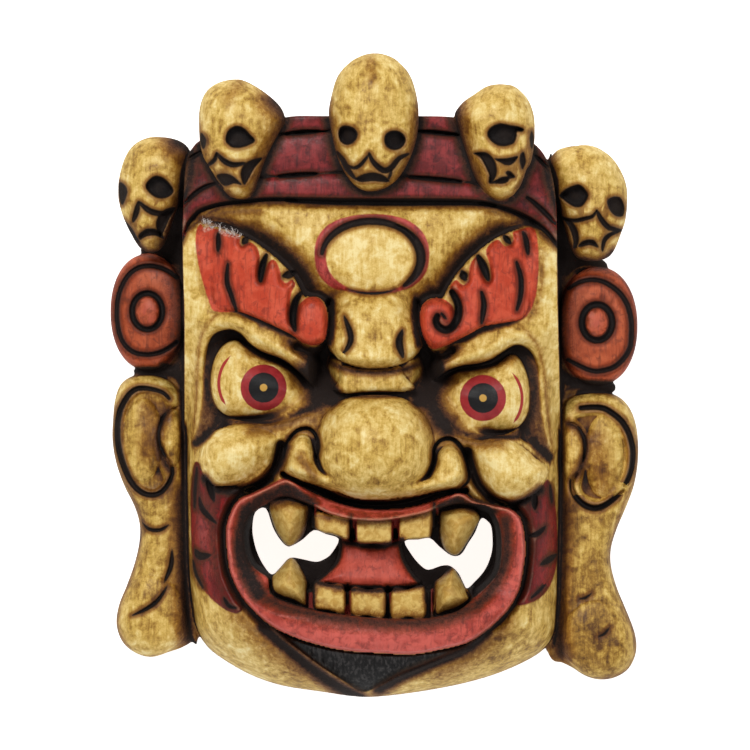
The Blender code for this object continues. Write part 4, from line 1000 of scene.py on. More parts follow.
# ------------------------------------------------------------------ fibres torn up along the top of the left brow
solid_count = len(fine.vertices)
rng = np.random.default_rng(7)
strand_points, strand_faces = [], []
for number in range(132):
    if number < 56:      # a curl of splinters at the outer corner
        turn = rng.uniform(0.0, 1.0)
        su, sv = 203.0 + 10.0 * turn + rng.normal(0, 0.7), 226.5 - 4.2 * math.sin(math.pi * min(1.0, 0.15 + turn)) + rng.normal(0, 0.9)
        heading = -1.4 + 1.9 * turn + rng.normal(0, 0.7)
        span = rng.uniform(2.0, 7.0)
    else:                # a ragged row along the edge
        turn = rng.uniform(0.0, 1.0)
        su, sv = 218.0 + 22.5 * turn + rng.normal(0, 0.8), 229.0 + 6.5 * turn + rng.normal(0, 1.2)
        heading = rng.uniform(-2.9, 0.5)
        span = 1.2 + 7.0 * rng.uniform(0.0, 1.0) ** 1.8
        su, sv = su + 1.5 * math.sin(0.9 * su), sv + 1.2 * math.sin(1.7 * su)
    level, _ = front_height(np.array([su]), np.array([sv + 1.5]))
    z = float(level[0]) - 0.2
    lift, bend, thick = rng.uniform(0.25, 1.4), rng.normal(0, 0.85), 0.15 + 0.36 * rng.uniform(0.0, 1.0) ** 2.0
    at_u, at_v, first = su, sv, len(strand_points)
    for step in range(5):
        for side in range(3):
            a = 2.094 * side + step * 0.4
            r = thick * (1.0 - 0.2 * step)
            strand_points.append((at_u + r * math.cos(a), at_v + r * math.sin(a) * 0.7, z + r * math.sin(a) * 0.35))
        if step:
            for side in range(3):
                p, q = first + (step - 1) * 3 + side, first + (step - 1) * 3 + (side + 1) % 3
                strand_faces.append((p, q, q + 3, p + 3))
        at_u += span / 4.0 * math.cos(heading)
        at_v += span / 4.0 * math.sin(heading)
        z += lift * span / 8.0 * (1.0 - 0.35 * step)
        heading += bend
    strand_faces.append((first + 2, first + 1, first))
    strand_faces.append((first + 12, first + 13, first + 14))
strands = to_frame(np.array(strand_points))
builder = bmesh.new()
builder.from_mesh(fine)
added = [builder.verts.new(p) for p in strands.tolist()]
for face in strand_faces:
    builder.faces.new([added[index] for index in face])
bmesh.ops.triangulate(builder, faces=builder.faces[:])
builder.to_mesh(fine)
builder.free()
fine.update()

# ------------------------------------------------------------------ paint, as distances on the drawing
count = len(fine.vertices)
co = np.empty(count * 3, np.float32)
fine.vertices.foreach_get("co", co)
co = co.reshape(-1, 3).astype(float)
normal = np.empty(count * 3, np.float32)
fine.vertices.foreach_get("normal", normal)
normal = normal.reshape(-1, 3).astype(float)
draw = from_frame(co)
pu, pv, pz = draw[:, 0], draw[:, 1], draw[:, 2]
grid_place = np.column_stack([pu, pv, pz * 2.0])
near_fill = sampled(blurred(filled, 1), origin, 2 * STEP, grid_place + normal * np.array([0.0, 0.0, 0.0]))
mid_fill = sampled(blurred(filled, 3), origin, 2 * STEP, grid_place)
far_fill = sampled(blurred(filled, 7), origin, 2 * STEP, grid_place)


def attribute(name, values):
    layer = fine.attributes.new(name, "FLOAT", "POINT")
    layer.data.foreach_set("value", np.asarray(values, np.float32))


def region(lines, reach=14.0):
    best = np.full(count, reach)
    for line in lines:
        best = np.minimum(best, boxed(lambda a, b: shape_distance(line, a, b), line, pu, pv, reach, reach))
    return best


outside_block = shape_distance(BLOCK_EDGE, pu, pv)
skull_d = np.full(count, 14.0)
skull_flat = np.full(count, 14.0)
for number in range(len(SKULLS)):
    line = SKULLS[number][0]
    near = ((pu > line[:, 0].min() - 14) & (pu < line[:, 0].max() + 14)
            & (pv > line[:, 1].min() - 14) & (pv < line[:, 1].max() + 14))
    front, back, d = skull_heights(number, pu[near], pv[near])
    skull_flat[near] = np.minimum(skull_flat[near], d)
    skull_d[near] = np.minimum(skull_d[near], np.maximum(d - 0.9, (back - 1.5 - pz[near]) * 1.2))
band_d = np.maximum(pv - band_v(BAND_LOW, pu) - 1.0, -14.0)
band_d = np.maximum(band_d, -skull_d - 0.3)
band_d = np.maximum(band_d, np.where((outside_block > 1.5) & (pv > 230.0), 14.0, -14.0))
face_wall = ease((0.80 - normal[:, 2]) / 0.30) * ease((outside_block + 3.5) / 1.5) * ease((pz - 66.0) / 10.0)
face_wall = face_wall * (pv > 236.0) * (pv < 700.0) * (skull_d > 0.0)
# the crown's walls are plain: the band's red is carried over the edge and down, without its grooves
crown_wall = ease((0.58 - normal[:, 2]) / 0.25) * (skull_d > 0.3) * (pv < 236.0) * (normal[:, 2] > -0.4)
crown_wall = crown_wall * (outside_block > -3.2) * (outside_block < np.where(pv < 136.0, 14.0, 3.2))
band_d = np.where(crown_wall > 0.5, (22.0 - pz) * 0.5, band_d)
attribute("d_band", np.clip(band_d, -14, 14))
attribute("d_brow", region([FLAME_L, FLAME_R]))
lip_in = region([LIP_IN])
lip_out = region([LIP_OUT])
lip_d = np.maximum(lip_out, -lip_in - 0.8)
lip_d = np.where(pz < 50.0, 14.0, lip_d)
attribute("d_lip", np.clip(lip_d, -14, 14))
attribute("d_mouth", np.clip(lip_in + 0.5, -14, 14))
teeth_d = np.minimum(region(UPPER_TEETH + LOWER_TEETH), region(UPPER_FANGS + LOWER_FANGS))
teeth_d = np.where(pz < 56.0, 14.0, np.maximum(teeth_d, lip_in + 0.4))
attribute("d_teeth", np.clip(teeth_d, -14, 14))
attribute("d_tongue", np.clip(np.where(pz < 52.0, 14.0, region([TONGUE])), -14, 14))
attribute("d_beard", region([BEARD_L, BEARD_R]))
attribute("d_goatee", np.clip(np.maximum(region([GOATEE]), -(lip_out - 0.5)), -14, 14))
disc_d = np.full(count, 14.0)
for cu, cv, ru, rv in (DISC_L, DISC_R):
    q = (oval(cu, cv, ru + 2.0, rv + 2.0, 0, pu, pv, 2.15) - 1.0) * ru
    disc_d = np.minimum(disc_d, np.where(np.abs(pu - 371.5) > 184.0, q, 14.0))
attribute("d_disc", np.where((outside_block > -0.5) & (face_wall < 0.3), np.clip(disc_d, -14, 14), 14.0))
ring = np.abs(oval(372.8, 255.0, 52.5, 38.0, 0, pu, pv, 2.35) - 1.0) * 44.0
ring_wide = 3.4 + 1.6 * ease((350.0 - pu) / 30.0) - 1.9 * ease((pv - 284.0) / 8.0) * ease((pu - 335.0) / 10.0)
attribute("d_ring", np.clip(ring - ring_wide, -14, 14))

ink = np.full(count, 9.0)
for line, wide, deep, amount, taper in FACE_LINES + TOOTH_GAPS:
    if amount <= 0.0:
        continue

    def inked(a, b, line=line, wide=wide, taper=taper, amount=amount):
        d, t = line_distance(line, a, b)
        return d - wide * amount * ((1.0 - taper) + taper * np.sin(np.pi * t) ** 0.7)
    ink = np.minimum(ink, boxed(inked, line, pu, pv, 9.0, 9.0))
on_skull = skull_d < 1.0
ink = np.where(skull_d < 0.5, 9.0, ink)
for owner, deep, line in SKULL_PITS:
    line = smooth(line, True, 4)
    d = boxed(lambda a, b: shape_distance(line, a, b), line, pu, pv, 9.0, 9.0)
    ink = np.where(on_skull, np.minimum(ink, d), ink)
for owner, wide, deep, line in SKULL_LINES:
    line = smooth(line, False, 4)

    def inked(a, b, line=line, wide=wide):
        d, t = line_distance(line, a, b)
        return d - wide * (0.4 + 0.6 * np.sin(np.pi * t) ** 0.7)
    ink = np.where(on_skull, np.minimum(ink, boxed(inked, line, pu, pv, 9.0, 9.0)), ink)
ink = np.where((normal[:, 2] < -0.2) | (crown_wall > 0.5), 9.0, ink)
ink = np.where((pz < 56.0) & (lip_in < 2.0), 9.0, ink)
for cu, cv, ru, rv in ((147.3, 311.3, 12.0, 15.0), (597.0, 322.4, 12.0, 15.0)):
    ink = np.where(oval(cu, cv, ru, rv, 0, pu, pv) < 0.9, np.maximum(ink, 4.6), ink)
ink = np.where(region([np.array(part, float) for part in GUMS]) < 0.1, np.maximum(ink, 3.2), ink)
attribute("d_ink", ink)


def low_line(start, end, drop):
    u = np.linspace(start, end, 12)
    return np.column_stack([u, band_v(BAND_LOW, u) + drop]).tolist()


# dark wash and painted shade: lines and pools of darkening in the creases, under overhangs and on the shaded sides of
# forms. Each is points, the half width that is fully dark, the squares over which it fades, and its strength.
WASH_AND_SHADE = [
    # over the brows
    ([(243, 231), (262, 238), (279, 249), (294, 262), (305, 277), (312, 291)], 0.8, 19.0, 1.0),
    ([(200, 219), (212, 218.5), (228, 222), (246, 231), (262, 238)], 0.0, 13.0, 0.80),
    ([(431, 292), (439, 291), (446, 281), (455, 268), (466, 254), (479, 243), (492, 234), (502, 229)], 0.6, 18.0, 1.0),
    ([(486, 237), (500, 229), (516, 223), (530, 219), (541, 224)], 0.0, 12.0, 0.74),
    ([(330, 300), (332.5, 320), (330, 343)], 1.6, 4.5, 1.0), ([(416, 298), (414.5, 320), (419, 345)], 1.6, 4.5, 1.0),
    # beside the nose root and ridge
    ([(318, 354), (316, 368), (321, 384), (330, 396)], 9.0, 8.0, 1.0), ([(430, 356), (434, 370), (430, 386), (421, 397)], 9.0, 8.0, 1.0),
    ([(303, 350), (314, 353), (326, 354)], 1.5, 11.0, 1.0), ([(447, 355), (436, 358), (424, 356)], 1.5, 11.0, 1.0),
    ([(289, 342), (301, 351), (311, 366)], 0.0, 13.0, 0.86), ([(457, 347), (446, 356), (438, 369)], 0.0, 13.0, 0.86),
    ([(329, 362), (348, 370), (375, 372.5), (402, 370), (420, 363)], 0.0, 8.5, 0.84), ([(336, 396), (375, 396.5), (413, 395.5)], 0.2, 4.0, 0.75),
    ([(318, 400), (314, 412), (316, 425)], 1.0, 9.0, 0.45), ([(433, 400), (437, 415), (434, 428)], 1.0, 9.0, 0.45),
    # eyes
    ([(304, 373), (314, 387), (317, 402)], 3.0, 22.0, 1.0), ([(442, 378), (432, 391), (434, 409), (448, 429)], 3.0, 22.0, 1.0),
    ([(250, 351), (275, 359), (296, 371)], 1.0, 9.0, 0.6), ([(450, 373), (478, 366), (500, 361), (515, 355)], 1.0, 11.0, 0.55),
    ([(221, 420), (245, 422.5), (270, 422), (290, 416), (304, 408)], 0.2, 4.0, 0.85), ([(252, 429), (285, 424), (308, 411)], 1.0, 14.0, 0.55),
    ([(217, 421), (205, 436), (196, 443)], 2.5, 5.0, 1.0), ([(523, 430), (536, 444), (549, 457)], 3.0, 5.0, 1.0),
    ([(438, 420), (455, 431), (475, 436), (500, 437), (518, 437)], 0.8, 5.0, 0.92), ([(434, 430), (468, 442), (500, 442)], 1.0, 13.0, 0.52),
    # cheeks, wings and the upper lip's recess
    ([(285, 447), (281, 459), (275.5, 470), (264, 480.5), (249, 489), (228, 491)], 1.5, 10.0, 1.0),
    ([(468, 454), (472, 470), (479, 485.5), (491, 498), (504, 505), (524, 501), (541, 490)], 1.2, 9.0, 1.0),
    ([(284, 476), (294, 483), (308, 486), (322, 491), (346, 503), (372, 506.5), (400, 505), (422, 499.5), (440, 493), (458, 491)], 0.6, 6.0, 0.95),
    ([(302, 487), (322, 496), (346, 508), (372, 512), (400, 510), (424, 504), (442, 498)], 2.0, 6.0, 0.6),
    ([(214, 489), (234, 492), (252, 490)], 2.0, 6.0, 0.9), ([(300, 458), (309, 468), (314, 478)], 1.0, 10.0, 0.5),
    # inside of the lips
    ([(251, 508), (262, 498), (280, 490), (298, 491), (312, 500)], 4.0, 10.0, 0.85), ([(440, 504), (458, 500), (476, 503.5), (494, 509)], 3.0, 7.0, 0.9),
    ([(247, 512), (241.5, 545), (246, 570), (258, 593)], 5.0, 10.0, 0.92), ([(505, 520), (507, 545), (503, 568), (491, 590), (477, 605)], 2.0, 11.0, 0.80),
    ([(268, 600), (290, 609), (320, 616), (350, 620), (400, 623), (440, 620), (472, 607)], 0.5, 17.0, 0.78),
    # outside of the lips
    ([(262, 486.5), (241, 494), (229, 507), (222.5, 527), (222.5, 550), (225.5, 572), (235.5, 595), (250.5, 614), (268, 628)], 0.0, 11.0, 0.85),
    ([(512, 505), (523.5, 515), (529, 532), (529.5, 552), (526.5, 573), (519.5, 594), (506.5, 613), (488, 630)], 0.0, 9.0, 0.85),
    ([(262, 627), (285, 647), (312, 669), (340, 688), (360, 698)], 2.2, 12.0, 1.0),
    ([(488, 632), (470, 648), (447, 658.5), (421, 669), (397, 680), (378, 691)], 2.0, 9.0, 0.95),
    ([(238, 612), (262, 640), (300, 668)], 0.0, 24.0, 0.42), ([(508, 622), (480, 652), (440, 672)], 0.0, 20.0, 0.38),
    # teeth: their roots under the lip and the dark side of the lower fangs
    ([(272, 501), (290, 497), (307, 501)], 2.0, 13.0, 0.8), ([(440, 508), (459, 505), (478, 510)], 1.5, 9.0, 0.75),
    ([(315, 516), (350, 521), (392, 521), (430, 513)], 0.5, 5.0, 0.6), ([(309, 512), (307, 530), (300, 543)], 1.5, 6.0, 0.7),
    ([(305, 566), (311, 582), (311, 606)], 2.4, 5.0, 1.0), ([(447, 567), (432, 577), (429, 600)], 3.2, 6.0, 1.0),
    ([(274, 597), (292, 605), (308, 609)], 1.0, 8.0, 0.7), ([(436, 616), (455, 611), (470, 601)], 1.0, 8.0, 0.6),
    ([(339, 541), (337, 558), (329, 568), (314, 581)], 2.4, 4.5, 1.0), ([(401.5, 541), (405, 558), (413.5, 573), (422, 583)], 2.4, 4.5, 1.0),
    ([(340, 542), (370, 546), (400, 543)], 1.2, 4.5, 0.9), ([(318, 583), (350, 589), (385, 590.5), (422, 585)], 1.0, 5.0, 0.85),
    # beard
    ([(204, 478), (214, 489), (232, 492)], 2.0, 7.0, 0.9), ([(217, 495), (213, 520), (214, 550), (217, 575), (226, 598)], 1.0, 12.0, 0.45),
    ([(527, 508), (532, 530), (532, 556), (527, 585), (519, 600)], 1.0, 10.0, 0.55), ([(541, 488), (524, 503), (514, 506)], 2.0, 6.0, 0.8),
    # sides of the face, discs and ears
    ([(139, 250), (120, 265), (113, 300), (113, 330), (122, 362)], 0.0, 4.0, 0.35), ([(620, 275), (634, 300), (638, 330), (631, 366), (615, 386)], 0.0, 4.0, 0.35),
    ([(150, 405), (148, 452)], 2.0, 18.0, 0.40), ([(167, 411), (158.5, 430), (158.5, 450), (170, 470)], 0.6, 12.0, 0.80), ([(594, 440), (602, 484)], 3.0, 24.0, 0.34), ([(568, 424), (580, 430), (586.5, 446), (583, 462), (576, 476)], 0.6, 11.0, 0.78),
    ([(120, 470), (136, 505), (141, 530), (133, 570), (120, 605), (118, 630), (130, 652)], 0.0, 5.0, 0.4),
    ([(634, 480), (618, 520), (611, 556), (622, 600), (636, 640), (630, 668), (604, 679)], 0.0, 5.0, 0.35),
    # under the crown band and at the forehead's corners
    (low_line(186, 556, 3.0), 0.4, 8.5, 0.68),
    ([(190, 228), (205, 217), (230, 212), (258, 211)], 0.0, 11.0, 0.55), ([(549, 242), (536, 228), (515, 217), (488, 211)], 0.0, 11.0, 0.50),
    (low_line(184, 558, -3.0), 0.0, 6.0, 0.5),
    # folds under the brows
    ([(214, 313), (236, 314), (268, 326), (300, 344)], 0.0, 7.0, 0.34), ([(536, 300), (526, 321), (484, 329), (448, 346)], 0.0, 7.0, 0.34),
    # the lids' outer rims
    ([(216, 315), (204, 329), (199, 350), (197, 380), (195.5, 408), (192.5, 434)], 0.0, 5.0, 0.40),
    ([(524, 329), (537, 344), (543.5, 370), (546.5, 400), (550, 432), (553, 450)], 0.0, 5.5, 0.38),
    ([(196, 250), (201, 280), (209, 304)], 0.0, 5.0, 0.35), ([(541, 250), (541, 280), (534, 312)], 0.0, 8.0, 0.45),
]
# painted shade in the gaps beside the face, and on the discs and ears where they meet it
SIDE_SHADE = [   # beside the face, on the discs and the ears
    ([(182.5, 246), (182.5, 330), (183, 420), (184, 520), (187, 600), (191, 636), (196, 644)], 1.0, 5.0, 1.0),
    ([(560.5, 250), (560, 330), (560.5, 420), (561, 520), (559, 600), (554, 645)], 0.8, 5.5, 1.0),
    ([(141, 249), (152, 247), (178, 251)], 2.5, 5.0, 1.0), ([(134, 371), (156, 370.5), (182, 377)], 2.6, 4.0, 1.0), ([(164, 368), (182, 371)], 4.0, 5.5, 0.95),
    ([(181, 376), (183, 392), (183.5, 408)], 2.0, 7.0, 1.0), ([(554, 261), (580, 261), (606, 264)], 3.0, 5.0, 1.0),
    ([(560, 373), (578, 384.5), (616, 387.5)], 4.6, 5.0, 1.0), ([(560, 376), (560.5, 396)], 3.0, 6.0, 1.0),
    ([(180, 266), (184, 300), (184, 330), (180, 360)], 0.0, 26.0, 0.90), ([(561, 275), (558, 320), (560, 362)], 0.0, 20.0, 0.90),
    ([(182, 490), (183, 560), (186, 610), (189, 640)], 1.0, 21.0, 0.84), ([(562, 500), (560, 560), (557, 620), (561, 654)], 1.0, 21.0, 0.80),
]
# painted shade on the skulls' shaded sides and under their chins
SKULL_SHADE = [
    ([(276, 101), (287, 114), (287, 127), (280, 145), (271, 165), (262, 186)], 1.0, 30.0, 0.88), ([(268, 160), (262, 178), (254, 196)], 1.0, 13.0, 0.90), ([(226, 192), (240, 201), (256, 195)], 0.0, 9.0, 0.65),
    ([(200, 122), (203, 154), (213, 174)], 0.0, 5.0, 0.4),
    ([(456, 108), (458, 130), (462, 150), (469, 170), (477, 188)], 0.0, 21.0, 0.88), ([(480, 193), (500, 203), (516, 196)], 0.0, 11.0, 0.72),
    ([(533, 152), (524, 178), (516, 193)], 1.0, 7.0, 0.6),
    ([(330, 120), (331, 138), (339, 164), (349, 185)], 0.0, 14.0, 0.72), ([(419.5, 118), (418, 138), (411, 163), (400, 184)], 0.0, 17.0, 0.78),
    ([(350, 187), (369, 194), (392, 187)], 0.0, 9.0, 0.75), ([(329, 100), (330, 120)], 0.0, 8.0, 0.5), ([(419, 100), (418.5, 125)], 0.0, 8.0, 0.5),
    ([(176, 142), (190, 152), (191, 170), (186, 198), (176, 226), (166, 248)], 0.0, 28.0, 0.92), ([(130, 235), (144, 252), (158, 253)], 1.5, 9.0, 0.85),
    ([(547, 160), (552, 190), (558, 215), (565, 240), (574, 258)], 0.0, 17.0, 0.92), ([(578, 260), (600, 263), (613, 253)], 1.5, 10.0, 0.85),
    ([(370, 58), (372, 80)], 0.0, 12.0, 0.30), ([(240, 84), (228, 100)], 0.0, 14.0, 0.30),
]


def laid(items, u, v):
    out = np.zeros(u.shape)
    for line, core, fade, strength in items:
        line = smooth(line, False, 4)
        d = boxed(lambda a, b: line_distance(line, a, b)[0], line, u, v, core + fade + 2.0, 99.0)
        out = np.maximum(out, strength * np.clip(1.0 - (d - core) / fade, 0.0, 1.0) ** 1.35)
    return out


wash_and_shade = laid(WASH_AND_SHADE, pu, pv)
wash_and_shade = np.maximum(wash_and_shade, laid(SIDE_SHADE, pu, pv) * ease((outside_block + 1.0) / 1.0))
slab = region([BROW_L, BROW_R])
wash_and_shade = np.where(slab < 2.6, np.minimum(wash_and_shade, 0.16 + 0.84 * ease((slab - 0.4) / 2.2)), wash_and_shade)
# painted shade in each socket's gap between lid and eyeball, lighter below the eyeball and towards its outer side
socket = np.maximum(region([SOCKET_L, SOCKET_R]), -region([BALL_L, BALL_R]))
below = np.where(pu < 372.0, ease((pv - 413.0) / 8.0) * ease((pu - 222.0) / 14.0) * ease((308.0 - pu) / 10.0),
                 ease((pv - 423.0) / 8.0) * ease((524.0 - pu) / 12.0) * ease((pu - 446.0) / 10.0))
outer = ease((region([BALL_L, BALL_R]) - 3.5) / 8.0) * np.maximum(ease((232.0 - pu) / 16.0), ease((pu - 512.0) / 16.0))
wash_and_shade = np.maximum(wash_and_shade, ease(0.5 - (socket + 0.3) / 4.4) * (0.93 - 0.40 * below - 0.30 * outer))
# everything in the mouth but teeth, gums and tongue is black
gum_d = region([np.array(part, float) for part in GUMS])
dark_mouth = ease(0.5 - (lip_in + 0.5) / 1.6) * ease((teeth_d + 0.2) / 1.2) * ease((gum_d + 0.6) / 1.4)
tongue_top = ease(0.5 - region([TONGUE]) / 1.4) * ease((normal[:, 2] - 0.25) / 0.2)
wash_and_shade = np.maximum(wash_and_shade, dark_mouth * (1.0 - tongue_top) * (1.0 - 0.72 * ease((pv - 603.0) / 5.0)))
# painted highlight along the lips' outer rim, which also lightens the dark wash there
rim_light = np.exp(-((lip_out + 2.4) / 2.2) ** 2) * (lip_in > 1.0) * (pz > 60.0)
wash_and_shade = wash_and_shade * (1.0 - 0.75 * rim_light)
# painted sheen on the lower lip and the beard patches
for cu, cv, ru, rv, amount in ((375, 637, 104, 13, 0.80), (300, 628, 42, 10, 0.42), (206, 522, 10, 34, 0.40), (212, 556, 9, 26, 0.34), (524, 545, 5, 40, 0.15)):
    painted_highlight = np.clip(1.0 - oval(cu, cv, ru, rv, 0, pu, pv, 2.2) ** 2, 0.0, 1.0)
    rim_light = np.maximum(rim_light, amount * painted_highlight * (np.minimum(lip_d, region([BEARD_L, BEARD_R])) < 0.0) * (pz > 40.0))
# painted highlight in the middle of each ear disc
for cu, cv in ((147.3, 311.3), (597.0, 322.4)):
    painted_highlight = np.clip(1.0 - oval(cu, cv, 13.0, 16.0, 0, pu, pv) ** 2, 0.0, 1.0) ** 0.6
    rim_light = np.maximum(rim_light, 0.38 * painted_highlight * (pz > 30.0))
attribute("rim_light", rim_light)
# painted shadow: the crown darkens towards each skull that stands on it, and the gaps beside the skulls above the discs
# are painted dark
disc_top = np.where(pu < 372.0, 253.5 + 0.012 * (pu - 148.0) ** 2, 263.5 + 0.012 * (pu - 600.0) ** 2)
crown_part = (band_d < 1.0) | ((outside_block > -4.0) & (pv < np.minimum(disc_top, 266.0)))
wash_and_shade = np.where(crown_part & (skull_d > 0.0), np.maximum(wash_and_shade, np.clip(1.0 - (skull_flat - 2.0) / 11.0, 0.0, 1.0) ** 1.3), wash_and_shade)
wash_and_shade = np.where((outside_block > 1.0) & (pv < np.minimum(disc_top, 276.0)) & (skull_d > 0.0), 1.0, wash_and_shade)
# the skulls carry only their painted shade
wash_and_shade = np.where(skull_d < 0.5, laid(SKULL_SHADE, pu, pv), wash_and_shade)
wash_and_shade[solid_count:] = 0.0
# the walls of the face above the discs and ears are ochre, darker only at their foot
wash_and_shade = wash_and_shade * (1.0 - 0.92 * face_wall)
wash_and_shade = wash_and_shade * (1.0 - crown_wall) + crown_wall * (0.20 + 0.38 * ease((60.0 - pz) / 56.0))
side = ease((16.0 - pz) / 16.0) * ease((0.6 - normal[:, 2]) / 0.4)
wash_and_shade = np.maximum(wash_and_shade, 0.5 * side)
attribute("wash_and_shade", np.clip(wash_and_shade, 0.0, 1.0))

buried = 0.55 * (near_fill - 0.5) + 1.0 * (mid_fill - 0.5) + 0.7 * (far_fill - 0.5)
gums = region([np.array(part, float) for part in GUMS])
buried = np.where((gums < 0.6) & (pz > 60.0), np.minimum(buried, 0.05), buried)
# soft shade only in the fold under the nose root and along the teeth's lower edges
fold = np.clip(1.0 - oval(375, 371, 42, 9, 0, pu, pv, 2.4) ** 2, 0.0, 1.0)
buried = buried - 0.22 * np.clip(fold * 1.6, 0.0, 1.0) - 0.16 * ease((pv - 600.0) / 6.0) * ease((0.4 - lip_in) / 2.0) * (pz > 50.0)
joint = (outside_block > -0.5) & (np.abs(pu - 371.5) < 205.0) & (pv > 264.0)
buried = np.where(joint, np.minimum(buried, 0.24), buried)
attribute("buried", np.clip(buried, -1.0, 1.0))
# convex edges, where the paint is rubbed paler and a painted highlight falls
attribute("edge_wear_and_highlight", np.clip((0.5 - near_fill) * 2.0, -1.0, 1.0))
torn = np.zeros(count)
torn[solid_count:] = 1.0
attribute("torn", torn)
# painted light and shade with the ochre's own tone: where the ochre is lighter or darker as a whole, lighter on raised
# forms such as the third eye, cheeks, eyeballs and the nose's lower rim, darker on the ears: middle, half sizes, amount
light_and_tone = np.zeros(count)
for cu, cv, ru, rv, amount in (
    (371, 258, 50, 38, 0.20), (235, 452, 38, 28, 0.10), (508, 470, 40, 30, 0.12), (245, 385, 40, 42, 0.13), (498, 402, 44, 42, 0.11),
    (300, 240, 40, 30, 0.06), (450, 235, 40, 26, 0.04), (500, 640, 60, 36, -0.08), (235, 650, 34, 44, 0.10), (330, 672, 70, 24, -0.05),
    (150, 500, 50, 160, -0.13), (600, 520, 50, 170, -0.12), (598, 640, 44, 50, -0.25), (150, 618, 30, 34, -0.04), (600, 455, 26, 40, 0.02),
    (375, 335, 44, 34, 0.04), (240, 108, 40, 30, -0.06), (373, 90, 44, 44, -0.05), (160, 160, 40, 26, -0.10), (590, 165, 40, 26, 0.03),
    (372, 480, 60, 18, -0.06), (372, 494, 56, 9, 0.22), (375, 420, 44, 20, 0.06), (192, 300, 9, 120, 0.10), (550, 340, 10, 120, 0.10),
    (503, 105, 34, 24, 0.02),
):
    light_and_tone = light_and_tone + amount * np.clip(1.0 - oval(cu, cv, ru, rv, 0, pu, pv, 2.2) ** 2, 0.0, 1.0) ** 0.7
attribute("light_and_tone", light_and_tone)
attribute("d_gum", np.where(pz > 62.0, region([np.array(part, float) for part in GUMS]), 14.0))
attribute("d_chip", region([np.array(part, float) for part in CHIPS]))
# 1 on the back and inside, where the wood is bare
hollow = oval(371.5, 402.0, 156.0, 252.0, 0, pu, pv, 4.0)
inside = ease((1.02 - hollow) / 0.04) * ease((59.0 + 2.0 - pz) / 3.0) * (normal[:, 2] < 0.25)
inside = np.where((lip_in < 3.0) & (pz > 30.0), inside * (normal[:, 2] < -0.45), inside)
bare = np.maximum(inside, ease((1.2 - pz) / 1.0))
bare[solid_count:] = 0.0
attribute("bare", bare)
vector = fine.attributes.new("drawing", "FLOAT_VECTOR", "POINT")
vector.data.foreach_set("vector", np.column_stack([pu, pv, pz * 2.0]).astype(np.float32).ravel())
fine.shade_smooth()


# ------------------------------------------------------------------ the painted wood
class Nodes:
    """Small helpers that keep the node graph readable."""

    def __init__(self, name):
        self.material = bpy.data.materials.new(name)
        self.material.use_nodes = True
        self.tree = self.material.node_tree
        self.tree.nodes.clear()

    def add(self, kind, **values):
        node = self.tree.nodes.new(kind)
        for key, value in values.items():
            setattr(node, key, value)
        return node

    def link(self, a, b):
        self.tree.links.new(a, b)

    def put(self, socket, value):
        if isinstance(value, bpy.types.NodeSocket):
            self.link(value, socket)
        else:
            socket.default_value = value

    def value(self, name):
        return self.add("ShaderNodeAttribute", attribute_name=name).outputs["Fac"]

    def vector(self, name):
        return self.add("ShaderNodeAttribute", attribute_name=name).outputs["Vector"]

    def math(self, operation, a, b=0.0, c=0.0, clamp=False):
        node = self.add("ShaderNodeMath", operation=operation, use_clamp=clamp)
        self.put(node.inputs[0], a)
        self.put(node.inputs[1], b)
        if len(node.inputs) > 2:
            self.put(node.inputs[2], c)
        return node.outputs[0]

    def span(self, x, low, high, a=0.0, b=1.0, kind="SMOOTHSTEP"):
        node = self.add("ShaderNodeMapRange", interpolation_type=kind, clamp=True)
        for socket, value in zip(("Value", "From Min", "From Max", "To Min", "To Max"), (x, low, high, a, b)):
            self.put(node.inputs[socket], value)
        return node.outputs["Result"]

    def mix(self, factor, a, b, blend="MIX"):
        node = self.add("ShaderNodeMix", data_type="RGBA", blend_type=blend, clamp_factor=True)
        self.put(node.inputs["Factor"], factor)
        self.put(node.inputs[6], a)
        self.put(node.inputs[7], b)
        return node.outputs[2]

    def noise(self, at, scale, detail=3.0, rough=0.55, warp=0.0):
        node = self.add("ShaderNodeTexNoise")
        self.put(node.inputs["Vector"], at)
        node.inputs["Scale"].default_value = scale
        node.inputs["Detail"].default_value = detail
        node.inputs["Roughness"].default_value = rough
        node.inputs["Distortion"].default_value = warp
        return node.outputs["Fac"]

    def stretched(self, at, scale, turn=(0.0, 0.0, 0.0)):
        node = self.add("ShaderNodeMapping")
        self.put(node.inputs["Vector"], at)
        node.inputs["Scale"].default_value = scale
        node.inputs["Rotation"].default_value = turn
        return node.outputs["Vector"]


def srgb(r, g, b):
    out = []
    for c in (r, g, b):
        c = c / 255.0
        out.append(c / 12.92 if c <= 0.04045 else ((c + 0.055) / 1.055) ** 2.4)
    return (*out, 1.0)


